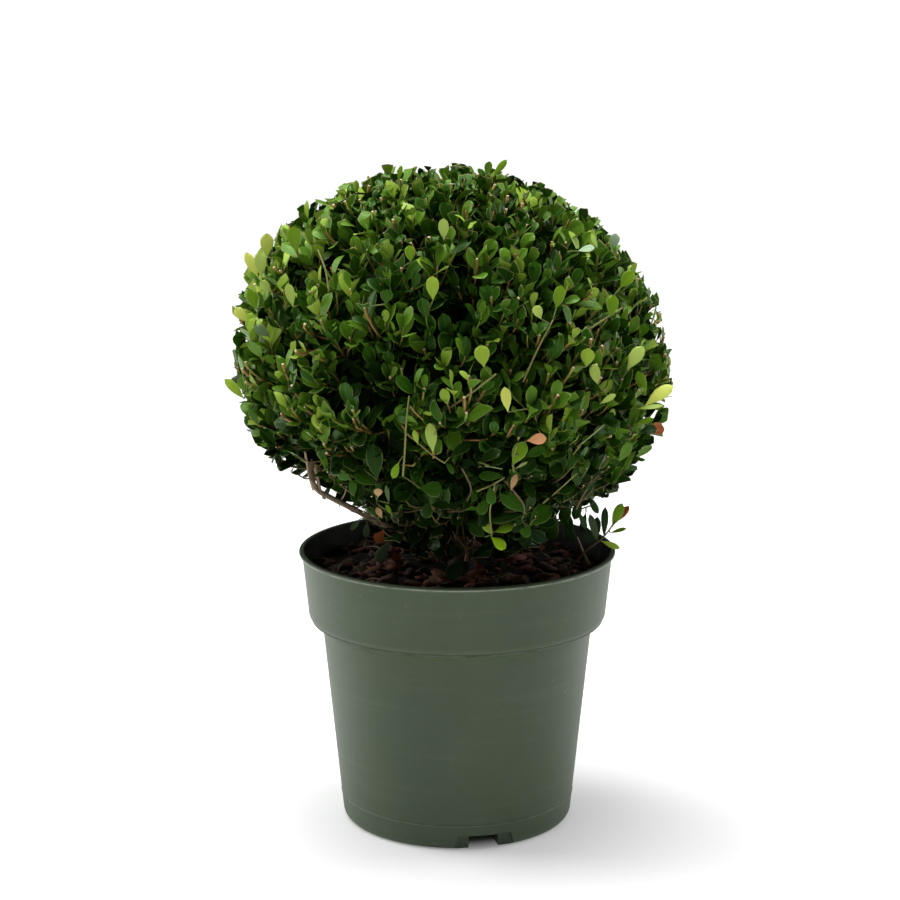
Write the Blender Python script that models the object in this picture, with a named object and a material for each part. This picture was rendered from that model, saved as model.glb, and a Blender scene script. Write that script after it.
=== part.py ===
"""A Japanese holly clipped to a ball, growing in a round nursery pot.

Metres, +Z up. The origin is the centre of the pot's flat underside, -Y is the front and +X the right.
The solids are the pot, its filling, the trunk, seven boughs and eight masses of leaves. Each side mass
hangs on one bough and the top mass on the trunk's tip. Every mass keeps to its own slice of the crown.
"""

import math
import random

import bmesh
import bpy
from mathutils import Matrix, Vector
from mathutils.bvhtree import BVHTree

GAP = 0.0003
UP = Vector((0.0, 0.0, 1.0))

POT_COLOR = (0.070, 0.092, 0.058)
SOIL_COLOR = (0.012, 0.008, 0.005)
BARK_COLOR = (0.165, 0.120, 0.075)
LEAF_COLOR = (0.035, 0.085, 0.018)

# Pot: a moulded tub with a wide collar under a rolled lip
POT_HEIGHT = 0.1658
POT_SEGMENTS = 40
WALL = 0.0018
FLOOR_THICKNESS = 0.0020
FOOT_RADIUS = 0.0656
FOOT_ROUNDING = 0.0060
BASE_RADIUS = 0.0698
WAIST_RADIUS = 0.0812
WAIST_HEIGHT = 0.1193
COLLAR_SLOPE = math.radians(38)
COLLAR_ROUNDING = 0.0055
COLLAR_FOOT_RADIUS = 0.0896
COLLAR_FOOT_HEIGHT = 0.1285
COLLAR_TOP_RADIUS = 0.0931
LIP_RADIUS = 0.0950
LIP_DEPTH = 0.0030

# Drain notches in the foot, each with a tunnel that runs in to a hole
NOTCH_COUNT = 2
NOTCH_TURN = math.radians(13.7)
NOTCH_HEIGHT = 0.0088
NOTCH_WIDTH = 0.0420
NOTCH_TOP_WIDTH = 0.0320
NOTCH_DEPTH = 0.0050
TUNNEL_WIDTH = 0.0180
TUNNEL_HEIGHT = 0.0078
TUNNEL_LENGTH = 0.0220
DRAIN_RADIUS = 0.0035
DRAIN_SEGMENTS = 10
PAST = 0.0100

# Potting mix, level round the trunk and a little lower at the wall
SOIL_HEIGHT = 0.1535
SOIL_EDGE_DROP = 0.0025
SOIL_LEVEL_RADIUS = 0.0180
SOIL_RINGS = (0.0740, 0.0560, 0.0380, SOIL_LEVEL_RADIUS)
SOIL_BUMP = 0.0012

# Trunk: from the flat cut at the soil up to the top mass
TRUNK_TIP_HEIGHT = 0.2852
TRUNK_SIDES = 10
TRUNK_BASE_RADIUS = 0.0058
TRUNK_TIP_RADIUS = 0.0024
TRUNK_TAPER = 1.3
FLARE_WIDTH = 0.0034
FLARE_HEIGHT = 0.0055
FLARE_LOBES = 5
FLARE_LOBE_SHARE = 0.18
TRUNK_FOOT = Vector((0.0030, 0.0000, 0.0))
TRUNK_LEAN = Vector((-0.0060, 0.0020, 0.0))
TRUNK_BOW = Vector((0.0030, -0.0025, 0.0))
TRUNK_RINGS = (0.0, 0.025, 0.06, 0.11, 0.18, 0.28, 0.42, 0.58, 0.76, 1.0)

# Boughs
BOUGH_SIDES = 7
BOUGH_RINGS = 8
BOUGH_BASE_RADIUS = 0.0029
BOUGH_TIP_RADIUS = 0.0019
BOUGH_START_RUN = 0.0110
BOUGH_START_RISE_SHARE = 0.20
BOUGH_END_RUN = 0.0090
BOUGH_END_RISE_SHARE = 0.45

# Crown: a clipped ball, flatter on top, that narrows to the stems and leans a little to the left
CROWN_CENTRE = Vector((-0.0047, 0.0, 0.2770))
CROWN_RADIUS = 0.1325
CROWN_RISE = 0.1190
CROWN_FALL = 0.1240
CROWN_LEAN = -0.05
RISE_POWER = 2.05
RISE_ROOT = 0.5
FALL_POWER = 2.0
FALL_ROOT = 0.75

# Slices of the crown
INNER_FACE = 0.0280
TOP_FACE_RADIUS = 0.0300
TOP_FACE_HEIGHT = 0.3000
TOP_FACE_SLOPE = 0.75
TOP_FLOOR_HEIGHT = TRUNK_TIP_HEIGHT + GAP / 2
HUB_RADIUS = 0.0720
HUB_HEIGHT = 0.2600
TOP_HUB = Vector((-0.0080, 0.0, 0.3300))

# Core of each mass, hidden under its leaves
CORE_DEPTH = 0.0290
CORE_SHARE = 1 - CORE_DEPTH / CROWN_RADIUS
CORE_SIDE_GAP = 0.0010
CORE_SEGMENTS = 28
CORE_RINGS = 9

# Stem and twigs of each mass
STEM_RADIUS = 0.0019
STEM_SIDES = 5
STEM_START = 0.0030
TWIG_RADIUS = 0.0012
TWIG_TIP_RADIUS = 0.0008
SHOOT_DEPTH = 0.0160
FORK_SHARE = 0.45
FORK_PULL = 0.8

# Leaves, about twice life size because there are fewer of them, spread evenly over the crown
LEAF_SITES = 590
SITE_SEED = 5
SITE_DEPTHS = (0.0020, 0.0080)
SITE_MARGIN = 0.0060
LEAVES_PER_SHOOT = 4.8
TWIGS_TRIED = 3
LEAFY_LENGTH = 0.0130
LEAF_LENGTH = (0.0250, 0.0340)
LEAF_WIDTH_SHARE = 0.54
LEAF_BROADEST = 0.60
LEAF_TIP = 0.98
LEAF_TIP_SHARE = 0.42
LEAF_THICKEST = 0.55
LEAF_THICKNESS_SHARE = 0.035
LEAF_ROOT_DEPTH = 0.0003
LEAF_MOST_SPREAD = math.radians(78)
LEAF_AIM = 0.0050
LEAF_TRIES = 24
LEAF_SHRINK = 0.35
GOLDEN_ANGLE = math.pi * (3 - math.sqrt(5))

# One side mass and bough each: azimuth from +X in degrees, then where the bough leaves the trunk
# and where it enters its mass, as heights above the ground
SIDES = {
    "left": (207.0, 0.1680, None),
    "front": (258.4, 0.1830, 0.2240),
    "front_right": (309.9, 0.1740, 0.2160),
    "right": (1.3, 0.1890, 0.2320),
    "back_right": (52.7, 0.1790, 0.2200),
    "back": (104.1, 0.1930, 0.2350),
    "back_left": (155.6, 0.1850, 0.2270),
}
HALF_SLICE = math.pi / len(SIDES)

# The left bough is bare: it runs out low under its mass and turns up into it near the crown's edge.
# Both ends of the run are a radius and a height, and the sags are shares of the run with a drop.
BARE_SIDE = "left"
BARE_RUN_START = (0.0300, 0.1775)
BARE_RUN_END = (0.0860, 0.2100)
BARE_SAGS = ((0.3, 0.0006), (0.6, 0.0), (0.85, 0.0))
BARE_TURN_SHARE = 0.55
BARE_TURN_DROP = 0.0010
BARE_TIP_RADIUS = 0.0950
BARE_CLEARANCE = 0.0050


def clear_scene():
    for old in list(bpy.data.objects):
        bpy.data.objects.remove(old, do_unlink=True)


def make_material(name, color, roughness):
    material = bpy.data.materials.new(name)
    material.use_nodes = True
    shader = material.node_tree.nodes["Principled BSDF"]
    shader.inputs["Base Color"].default_value = (*color, 1.0)
    shader.inputs["Roughness"].default_value = roughness
    shader.inputs["Metallic"].default_value = 0.0
    return material


def object_from(name, bm, collection=None):
    bmesh.ops.recalc_face_normals(bm, faces=bm.faces)
    mesh = bpy.data.meshes.new(name)
    bm.to_mesh(mesh)
    bm.free()
    obj = bpy.data.objects.new(name, mesh)
    (collection or bpy.context.scene.collection).objects.link(obj)
    return obj


def finish(obj, material, smooth_angle=None):
    obj.data.materials.clear()
    obj.data.materials.append(material)
    if smooth_angle is not None:
        obj.data.shade_smooth()
        obj.data.set_sharp_from_angle(angle=math.radians(smooth_angle))


def hide_tool(obj):
    obj.hide_render = True
    obj.display_type = "WIRE"


def subtract(obj, cutter):
    modifier = obj.modifiers.new("cut " + cutter.name, "BOOLEAN")
    modifier.operation = "DIFFERENCE"
    modifier.object = cutter


def turned(name, profile):
    """Turn a closed outline of (radius, height) points round Z."""
    bm = bmesh.new()
    corners = [bm.verts.new((radius, 0.0, height)) for radius, height in profile]
    edges = [bm.edges.new(pair) for pair in zip(corners, corners[1:])]
    bmesh.ops.spin(bm, geom=corners + edges, cent=(0, 0, 0), axis=UP, angle=math.tau,
                   steps=POT_SEGMENTS, use_merge=True)
    bmesh.ops.remove_doubles(bm, verts=bm.verts, dist=1e-6)
    return object_from(name, bm)


def outward(azimuth):
    return Vector((math.cos(azimuth), math.sin(azimuth), 0.0))


def arc(centre, radii, start, end, steps):
    """Points on an ellipse about a (radius, height) centre, both ends included."""
    points = []
    for step in range(steps + 1):
        angle = start + (end - start) * step / steps
        points.append((centre[0] + radii[0] * math.cos(angle), centre[1] + radii[1] * math.sin(angle)))
    return points


def collar_curve(inset, steps=2):
    """The collar's rounded foot, from the waist's corner out to its wall, moved in by inset."""
    bend = COLLAR_ROUNDING - inset
    centre = (COLLAR_FOOT_RADIUS - COLLAR_ROUNDING, COLLAR_FOOT_HEIGHT)
    return arc(centre, (bend, bend), COLLAR_SLOPE - math.pi / 2, 0.0, steps)


def outer_profile():
    lip_middle = POT_HEIGHT - LIP_DEPTH / 2
    lip_half = LIP_DEPTH / 2
    lip_centre = (LIP_RADIUS - lip_half, lip_middle)
    foot = arc((FOOT_RADIUS, FOOT_ROUNDING), (BASE_RADIUS - FOOT_RADIUS, FOOT_ROUNDING),
               -math.pi / 2, 0.0, 2)
    lip = arc(lip_centre, (lip_half, lip_half), -math.pi / 3, math.pi / 2, 3)
    waist = [(WAIST_RADIUS, WAIST_HEIGHT)]
    collar_top = [(COLLAR_TOP_RADIUS, POT_HEIGHT - LIP_DEPTH)]
    return [(0.0, 0.0)] + foot + waist + collar_curve(0.0) + collar_top + lip + [(0.0, POT_HEIGHT)]


def inner_points(inset, steps=2):
    """The pot's inside from the floor's edge up to the collar's foot, moved in by inset more."""
    foot_radii = (BASE_RADIUS - WALL - FOOT_RADIUS, FOOT_ROUNDING - FLOOR_THICKNESS - inset)
    foot = arc((FOOT_RADIUS - inset, FOOT_ROUNDING), foot_radii, -math.pi / 2, 0.0, steps)
    waist = [(WAIST_RADIUS - WALL - inset, WAIST_HEIGHT)]
    return foot + waist + collar_curve(WALL + inset, steps)


def collar_radius_inside(height, inset):
    share = (height - COLLAR_FOOT_HEIGHT) / (POT_HEIGHT - LIP_DEPTH - COLLAR_FOOT_HEIGHT)
    return COLLAR_FOOT_RADIUS + (COLLAR_TOP_RADIUS - COLLAR_FOOT_RADIUS) * share - WALL - inset


def cavity_profile():
    mouth_height = POT_HEIGHT + PAST
    mouth = [(collar_radius_inside(mouth_height, 0.0), mouth_height), (0.0, mouth_height)]
    return [(0.0, FLOOR_THICKNESS)] + inner_points(0.0) + mouth


def notch_turns():
    return [NOTCH_TURN - math.pi / 2 + number * math.tau / NOTCH_COUNT for number in range(NOTCH_COUNT)]


def wedge_box(bm, near, far, low_width, high_width, bottom, top, turn):
    """A block that runs out from radius near to far, with slanted sides."""
    block = bmesh.ops.create_cube(bm, size=1.0)["verts"]
    for vert in block:
        high = vert.co.z > 0
        width = high_width if high else low_width
        vert.co = Vector((far if vert.co.x > 0 else near, math.copysign(width / 2, vert.co.y),
                          top if high else bottom))
    bmesh.ops.rotate(bm, verts=block, cent=(0, 0, 0), matrix=Matrix.Rotation(turn, 3, "Z"))


def notch_tool(name, grow):
    """The drain notches, or the humps that cover them from inside when grow is more than nothing."""
    notches = bmesh.new()
    tunnels = bmesh.new()
    notch_near = BASE_RADIUS - NOTCH_DEPTH - grow
    tunnel_near = BASE_RADIUS - NOTCH_DEPTH - TUNNEL_LENGTH - grow
    tunnel_far = BASE_RADIUS - NOTCH_DEPTH / 2
    for turn in notch_turns():
        wedge_box(notches, notch_near, BASE_RADIUS + PAST, NOTCH_WIDTH + 2 * grow,
                  NOTCH_TOP_WIDTH + 2 * grow, -PAST, NOTCH_HEIGHT + grow, turn)
        wedge_box(tunnels, tunnel_near, tunnel_far, TUNNEL_WIDTH + 2 * grow,
                  TUNNEL_WIDTH + 2 * grow, -PAST, TUNNEL_HEIGHT + grow, turn)
    notch_object = object_from(name, notches)
    tunnel_object = object_from(name + "_tunnels", tunnels)
    hide_tool(notch_object)
    hide_tool(tunnel_object)
    return notch_object, tunnel_object


def drain_tool():
    bm = bmesh.new()
    hole_radius = BASE_RADIUS - NOTCH_DEPTH - TUNNEL_LENGTH + TUNNEL_WIDTH / 2
    for turn in notch_turns():
        place = Matrix.Translation(outward(turn) * hole_radius + UP * (TUNNEL_HEIGHT + WALL / 2))
        bmesh.ops.create_cone(bm, cap_ends=True, segments=DRAIN_SEGMENTS, radius1=DRAIN_RADIUS,
                              radius2=DRAIN_RADIUS, depth=2 * WALL, matrix=place)
    holes = object_from("drain_holes", bm)
    hide_tool(holes)
    return holes


def build_pot():
    pot = turned("pot", outer_profile())
    cavity = turned("pot_cavity", cavity_profile())
    hide_tool(cavity)
    for hump in notch_tool("pot_humps", WALL):
        subtract(cavity, hump)
    subtract(pot, cavity)
    for notch in notch_tool("pot_notches", 0.0):
        subtract(pot, notch)
    subtract(pot, drain_tool())
    finish(pot, make_material("pot plastic", POT_COLOR, 0.5), 35)


def soil_height(radius, azimuth):
    """Level near the trunk, then lower and more uneven towards the wall."""
    if radius <= SOIL_LEVEL_RADIUS:
        return SOIL_HEIGHT
    out = (radius - SOIL_LEVEL_RADIUS) / (COLLAR_TOP_RADIUS - SOIL_LEVEL_RADIUS)
    wave = math.sin(5 * azimuth + 40 * radius) + math.sin(3 * azimuth - 170 * radius)
    return SOIL_HEIGHT - SOIL_EDGE_DROP * out ** 2 + SOIL_BUMP * wave / 2 * min(1.0, 3 * out)


def build_soil():
    edge_height = SOIL_HEIGHT - SOIL_EDGE_DROP
    edge_radius = collar_radius_inside(edge_height, GAP)
    top = [(radius, edge_height) for radius in (edge_radius, *SOIL_RINGS)]
    profile = [(0.0, FLOOR_THICKNESS + GAP)] + inner_points(GAP, 1) + top + [(0.0, edge_height)]
    soil = turned("soil", profile)
    for vert in soil.data.vertices:
        if vert.co.z > edge_height - GAP:
            radius = math.hypot(vert.co.x, vert.co.y)
            vert.co.z = soil_height(radius, math.atan2(vert.co.y, vert.co.x))
    for hump in notch_tool("soil_humps", WALL + GAP):
        subtract(soil, hump)
    finish(soil, make_material("potting mix", SOIL_COLOR, 0.95))


def frame_along(direction):
    """Two unit vectors square to a direction and to each other."""
    side = Vector((1.0, 0.0, 0.0)).cross(direction)
    if side.length < 0.2:
        side = Vector((0.0, 1.0, 0.0)).cross(direction)
    side.normalize()
    return side, direction.cross(side)


def limb(name, path, radii, sides, first_normal=None, last_normal=None, lobes=None,
         collection=None):
    """Loft rings along a path; an end cut can be slanted by giving its normal."""
    bm = bmesh.new()
    loops = []
    last = len(path) - 1
    for place, centre in enumerate(path):
        before = path[max(place - 1, 0)]
        after = path[min(place + 1, last)]
        tangent = (after - before).normalized()
        side, other = frame_along(tangent)
        normal = tangent
        if place == 0 and first_normal is not None:
            normal = first_normal
        if place == last and last_normal is not None:
            normal = last_normal
        ring = []
        for step in range(sides):
            angle = math.tau * step / sides
            radius = radii[place] * (lobes(place, angle) if lobes else 1.0)
            spoke = side * math.cos(angle) * radius + other * math.sin(angle) * radius
            slide = -spoke.dot(normal) / tangent.dot(normal)
            ring.append(bm.verts.new(centre + spoke + tangent * slide))
        loops.append(ring)
    for low, high in zip(loops, loops[1:]):
        for step in range(sides):
            after = (step + 1) % sides
            bm.faces.new((low[step], low[after], high[after], high[step]))
    bm.faces.new(list(reversed(loops[0])))
    bm.faces.new(loops[-1])
    return object_from(name, bm, collection)


def trunk_axis(share):
    foot = SOIL_HEIGHT + GAP
    height = foot + (TRUNK_TIP_HEIGHT - foot) * share
    bow = TRUNK_BOW * math.sin(math.tau * share)
    return TRUNK_FOOT + TRUNK_LEAN * share + bow + UP * height


def trunk_point(height):
    foot = SOIL_HEIGHT + GAP
    return trunk_axis((height - foot) / (TRUNK_TIP_HEIGHT - foot))


def trunk_radius(share):
    taper = TRUNK_TIP_RADIUS + (TRUNK_BASE_RADIUS - TRUNK_TIP_RADIUS) * (1 - share) ** TRUNK_TAPER
    rise = (TRUNK_TIP_HEIGHT - SOIL_HEIGHT) * share
    return taper + FLARE_WIDTH * math.exp(-rise / FLARE_HEIGHT)


def flare_lobes(place, angle):
    rise = (TRUNK_TIP_HEIGHT - SOIL_HEIGHT) * TRUNK_RINGS[place]
    return 1.0 + FLARE_LOBE_SHARE * math.exp(-rise / FLARE_HEIGHT) * math.cos(FLARE_LOBES * angle)


def bark_material(name):
    return make_material("bark of " + name, BARK_COLOR, 0.85)


def build_trunk(name, grow):
    path = [trunk_axis(share) for share in TRUNK_RINGS]
    radii = [trunk_radius(share) + grow for share in TRUNK_RINGS]
    if grow:
        path.append(path[-1] + UP * grow)
        radii.append(radii[-1])
    return limb(name, path, radii, TRUNK_SIDES, UP, UP, None if grow else flare_lobes)


class Plane:
    """A flat boundary; the side that its normal points to is inside."""

    def __init__(self, point, normal):
        self.point = point
        self.normal = normal.normalized()

    def depth(self, place):
        return (place - self.point).dot(self.normal)

    def reversed(self):
        return Plane(self.point, -self.normal)


def crown_radius(height):
    rise = height - CROWN_CENTRE.z
    if rise >= 0:
        return CROWN_RADIUS * max(0.0, 1 - (rise / CROWN_RISE) ** RISE_POWER) ** RISE_ROOT
    return CROWN_RADIUS * max(0.0, 1 - (-rise / CROWN_FALL) ** FALL_POWER) ** FALL_ROOT


def in_crown(place):
    across = place.x - CROWN_CENTRE.x - CROWN_LEAN * (place.z - CROWN_CENTRE.z)
    return math.hypot(across, place.y) < crown_radius(place.z)


def crown_point(direction):
    """Where a ray from the crown's centre leaves the crown."""
    near, far = 0.0, 2.0 * CROWN_RADIUS
    for _ in range(24):
        middle = (near + far) / 2
        if in_crown(CROWN_CENTRE + direction * middle):
            near = middle
        else:
            far = middle
    return CROWN_CENTRE + direction * near


def top_face(azimuth):
    """The sloping face between the top mass and one side mass, seen from the side mass."""
    point = outward(azimuth) * TOP_FACE_RADIUS + UP * TOP_FACE_HEIGHT
    return Plane(point, outward(azimuth) * TOP_FACE_SLOPE - UP)


def bare_point(run_point, azimuth):
    return outward(azimuth) * run_point[0] + UP * run_point[1]


def bare_floor(azimuth):
    """The face that holds the left mass clear of the bare bough under it."""
    start = bare_point(BARE_RUN_START, azimuth)
    run = bare_point(BARE_RUN_END, azimuth) - start
    normal = run.cross(outward(azimuth).cross(UP)).normalized()
    if normal.z < 0:
        normal = -normal
    return Plane(start + normal * BARE_CLEARANCE, normal)


def side_faces(side):
    azimuth = math.radians(SIDES[side][0])
    first = azimuth - HALF_SLICE
    second = azimuth + HALF_SLICE
    faces = [
        Plane(Vector(), UP.cross(outward(first))),
        Plane(Vector(), outward(second).cross(UP)),
        Plane(outward(azimuth) * INNER_FACE, outward(azimuth)),
        top_face(azimuth),
    ]
    if side == BARE_SIDE:
        faces.append(bare_floor(azimuth))
    return faces


def top_faces():
    slopes = [top_face(math.radians(values[0])).reversed() for values in SIDES.values()]
    return slopes + [Plane(UP * TOP_FLOOR_HEIGHT, UP)]


def bezier(start, start_pull, end_pull, end, count):
    points = []
    for step in range(count):
        t = step / (count - 1)
        s = 1 - t
        points.append(start * s ** 3 + start_pull * 3 * s * s * t + end_pull * 3 * s * t * t
                      + end * t ** 3)
    return points


def bough_path(side):
    """The bough's middle line, ending on its mass's face, and that face."""
    azimuth = math.radians(SIDES[side][0])
    start = trunk_point(SIDES[side][1])
    if side == BARE_SIDE:
        face = bare_floor(azimuth)
        run_start = bare_point(BARE_RUN_START, azimuth)
        run_end = bare_point(BARE_RUN_END, azimuth)
        tip = outward(azimuth) * BARE_TIP_RADIUS
        tip.z = (face.point - tip).dot(face.normal) / face.normal.z
        path = [start, start.lerp(run_start, 0.5), run_start]
        path += [run_start.lerp(run_end, share) - UP * drop for share, drop in BARE_SAGS]
        path += [run_end, run_end.lerp(tip, BARE_TURN_SHARE) - UP * BARE_TURN_DROP, tip]
        return path, face
    entry = outward(azimuth) * INNER_FACE + UP * SIDES[side][2]
    rise = entry.z - start.z
    start_pull = start + outward(azimuth) * BOUGH_START_RUN + UP * rise * BOUGH_START_RISE_SHARE
    end_pull = entry - outward(azimuth) * BOUGH_END_RUN - UP * rise * BOUGH_END_RISE_SHARE
    return bezier(start, start_pull, end_pull, entry, BOUGH_RINGS), Plane(entry, outward(azimuth))


def build_bough(side, trunk_tool):
    path, face = bough_path(side)
    path[-1] = path[-1] - face.normal * (GAP / 2)
    count = len(path) - 1
    radii = [BOUGH_BASE_RADIUS + (BOUGH_TIP_RADIUS - BOUGH_BASE_RADIUS) * place / count
             for place in range(len(path))]
    bough = limb("bough_" + side, path, radii, BOUGH_SIDES, None, face.normal)
    subtract(bough, trunk_tool)
    return bough


def even_directions(count):
    directions = []
    for number in range(count):
        height = 1 - (2 * number + 1) / count
        level = math.sqrt(1 - height * height)
        turn = GOLDEN_ANGLE * number
        directions.append(Vector((level * math.cos(turn), level * math.sin(turn), height)))
    return directions


class Space:
    """The slice of the crown that one mass keeps to. It has flat sides, so what lies between two
    points that it holds is inside it too, and no limb enters it."""

    def __init__(self, faces):
        self.faces = faces

    def depth(self, place):
        return min(face.depth(place) for face in self.faces)

    def holds(self, place, margin=GAP):
        return in_crown(place) and self.depth(place) >= margin

    def moved_in(self, place):
        """The place, moved in from the flat faces as far as half a leaf needs."""
        for face in self.faces:
            place = place + face.normal * max(0.0, SITE_MARGIN - face.depth(place))
        return place

    def in_core(self, place):
        stretched = CROWN_CENTRE + (place - CROWN_CENTRE) / CORE_SHARE
        return in_crown(stretched) and self.depth(place) >= CORE_SIDE_GAP


def core_object(name, space):
    """The crown's shape made smaller, then cut down to the slice."""
    bm = bmesh.new()
    bmesh.ops.create_uvsphere(bm, u_segments=CORE_SEGMENTS, v_segments=CORE_RINGS, radius=1.0)
    for vert in bm.verts:
        rise = vert.co.z * (CROWN_RISE if vert.co.z > 0 else CROWN_FALL) * CORE_SHARE
        radius = crown_radius(CROWN_CENTRE.z + rise / CORE_SHARE) * CORE_SHARE
        level = Vector((vert.co.x, vert.co.y, 0.0))
        across = level.normalized() * radius if level.length > 1e-6 else level
        vert.co = CROWN_CENTRE + across + Vector((CROWN_LEAN * rise, 0.0, rise))
    bmesh.ops.remove_doubles(bm, verts=bm.verts, dist=1e-6)
    for face in space.faces:
        geometry = list(bm.verts) + list(bm.edges) + list(bm.faces)
        bmesh.ops.bisect_plane(bm, geom=geometry, plane_co=face.point + face.normal * CORE_SIDE_GAP,
                               plane_no=face.normal, clear_inner=True)
        rim = [edge for edge in bm.edges if edge.is_boundary]
        bmesh.ops.holes_fill(bm, edges=rim)
    return object_from(name, bm)


def twig_object(name, start, end, collection):
    bm = bmesh.new()
    turn = UP.rotation_difference(end - start).to_matrix().to_4x4()
    place = Matrix.Translation((start + end) / 2) @ turn
    bmesh.ops.create_cone(bm, cap_ends=True, segments=3, radius1=TWIG_RADIUS,
                          radius2=TWIG_TIP_RADIUS, depth=(end - start).length, matrix=place)
    outline = BVHTree.FromBMesh(bm)
    object_from(name, bm, collection)
    return outline


def leaf_corners(root, direction, face_up, length):
    """Six corners of an egg-shaped leaf, broadest past its middle, thickest under its midrib."""
    across = direction.cross(face_up).normalized()
    half = length * LEAF_WIDTH_SHARE / 2
    thickness = length * LEAF_THICKNESS_SHARE
    lift = face_up * thickness
    return [
        root - direction * LEAF_ROOT_DEPTH,
        root + direction * length * LEAF_BROADEST + across * half + lift,
        root + direction * length * LEAF_TIP + across * half * LEAF_TIP_SHARE,
        root + direction * length * LEAF_TIP - across * half * LEAF_TIP_SHARE,
        root + direction * length * LEAF_BROADEST - across * half + lift,
        root + direction * length * LEAF_THICKEST - face_up * thickness / 2,
    ]


LEAF_FACES = ((0, 4, 1), (1, 4, 3), (1, 3, 2), (0, 1, 5), (1, 2, 5), (2, 3, 5), (3, 4, 5), (4, 0, 5))


def leaf_object(name, corners, collection):
    bm = bmesh.new()
    verts = [bm.verts.new(corner) for corner in corners]
    for face in LEAF_FACES:
        bm.faces.new([verts[index] for index in face])
    object_from(name, bm, collection)


def leaf_for(space, rng, twig, site, others):
    """A leaf from the twig's leafy end towards its site, kept in the space and off all others."""
    start, end = twig
    along = (end - start).normalized()
    outside = (site - CROWN_CENTRE).normalized()
    for attempt in range(LEAF_TRIES):
        root = end - along * rng.uniform(TWIG_TIP_RADIUS, LEAFY_LENGTH)
        aim = Vector([rng.uniform(-LEAF_AIM, LEAF_AIM) for _ in range(3)])
        direction = (site + aim - root).normalized()
        if direction.angle(along) > LEAF_MOST_SPREAD:
            continue
        face_up = outside + UP * rng.uniform(-0.2, 0.8) + aim / LEAF_AIM * rng.uniform(0.0, 0.9)
        face_up = face_up - direction * face_up.dot(direction)
        if face_up.length < 0.1:
            continue
        length = rng.uniform(*LEAF_LENGTH) * (1 - LEAF_SHRINK * attempt / LEAF_TRIES)
        corners = leaf_corners(root, direction, face_up.normalized(), length)
        if not all(space.holds(corner) and not space.in_core(corner) for corner in corners[1:]):
            continue
        outline = BVHTree.FromPolygons(corners, LEAF_FACES)
        if not any(outline.overlap(older) for older in others):
            return corners, outline
    return None


def spread_out(sites, centre, count):
    """Pick sites that lie as far as they can from each other, the one nearest the centre first."""
    picked = [min(sites, key=lambda site: (site - centre).length)]
    while len(picked) < count:
        picked.append(max(sites, key=lambda site: min((site - other).length for other in picked)))
    return picked


def grow_twigs(space, hub, sites):
    """Each shoot leaves the nearest older wood, and one that would leave the space is skipped."""
    twigs = []
    forks = [hub]
    targets = spread_out(sites, hub, round(len(sites) / LEAVES_PER_SHOOT))
    for target in sorted(targets, key=lambda place: (place - hub).length):
        fork = min(forks, key=lambda place: (place - target).length + FORK_PULL * (place - hub).length)
        end = target - (target - fork).normalized() * SHOOT_DEPTH
        if space.holds(end, 2 * TWIG_RADIUS):
            twigs.append((fork, end))
            forks.append(fork.lerp(end, FORK_SHARE))
    return twigs


def grow_mass(name, space, entry, entry_normal, hub, sites, seed):
    """Grow a stem, its twigs and their leaves towards the sites, and fuse them with the core."""
    rng = random.Random(seed)
    collection = bpy.data.collections.new(name + "_wood_and_leaves")
    bpy.context.scene.collection.children.link(collection)
    stem_start = entry + entry_normal * (GAP / 2)
    stem_path = [stem_start, stem_start + entry_normal * STEM_START, hub]
    limb(name + "_stem", stem_path, [STEM_RADIUS] * 3, STEM_SIDES, entry_normal,
         collection=collection)
    twigs = grow_twigs(space, hub, sites)
    twig_outlines = [twig_object(f"{name}_twig_{number}", start, end, collection)
                     for number, (start, end) in enumerate(twigs)]
    leaf_outlines = []
    for number, site in enumerate(sorted(sites, key=space.depth)):
        order = sorted(range(len(twigs)), key=lambda index: (twigs[index][1] - site).length)
        for index in order[:TWIGS_TRIED]:
            others = leaf_outlines + twig_outlines[:index] + twig_outlines[index + 1:]
            found = leaf_for(space, rng, twigs[index], site, others)
            if found:
                leaf_object(f"{name}_leaf_{number}", found[0], collection)
                leaf_outlines.append(found[1])
                break
    core = core_object(name, space)
    fuse(core, collection)
    return core, len(leaf_outlines)


def fuse(body, collection):
    """Join a body with all in the collection, then remove the collection's objects."""
    modifier = body.modifiers.new("fuse", "BOOLEAN")
    modifier.operation = "UNION"
    modifier.operand_type = "COLLECTION"
    modifier.solver = "MANIFOLD"
    modifier.collection = collection
    bpy.context.view_layer.update()
    evaluated = body.evaluated_get(bpy.context.evaluated_depsgraph_get())
    joined = bpy.data.meshes.new_from_object(evaluated)
    body.modifiers.clear()
    body.data = joined
    for piece in list(collection.objects):
        bpy.data.objects.remove(piece, do_unlink=True)
    bpy.data.collections.remove(collection)
    keep_largest(joined)


def keep_largest(mesh):
    """Drop loose scraps and sealed hollows, so that one closed body is left."""
    bm = bmesh.new()
    bm.from_mesh(mesh)
    unseen = set(bm.verts)
    groups = []
    while unseen:
        group = set()
        edge_of_search = [unseen.pop()]
        while edge_of_search:
            vert = edge_of_search.pop()
            group.add(vert)
            for edge in vert.link_edges:
                other = edge.other_vert(vert)
                if other in unseen:
                    unseen.discard(other)
                    edge_of_search.append(other)
        groups.append(group)
    groups.sort(key=len, reverse=True)
    scraps = [vert for group in groups[1:] for vert in group]
    bmesh.ops.delete(bm, geom=scraps, context="VERTS")
    bm.to_mesh(mesh)
    bm.free()


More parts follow.
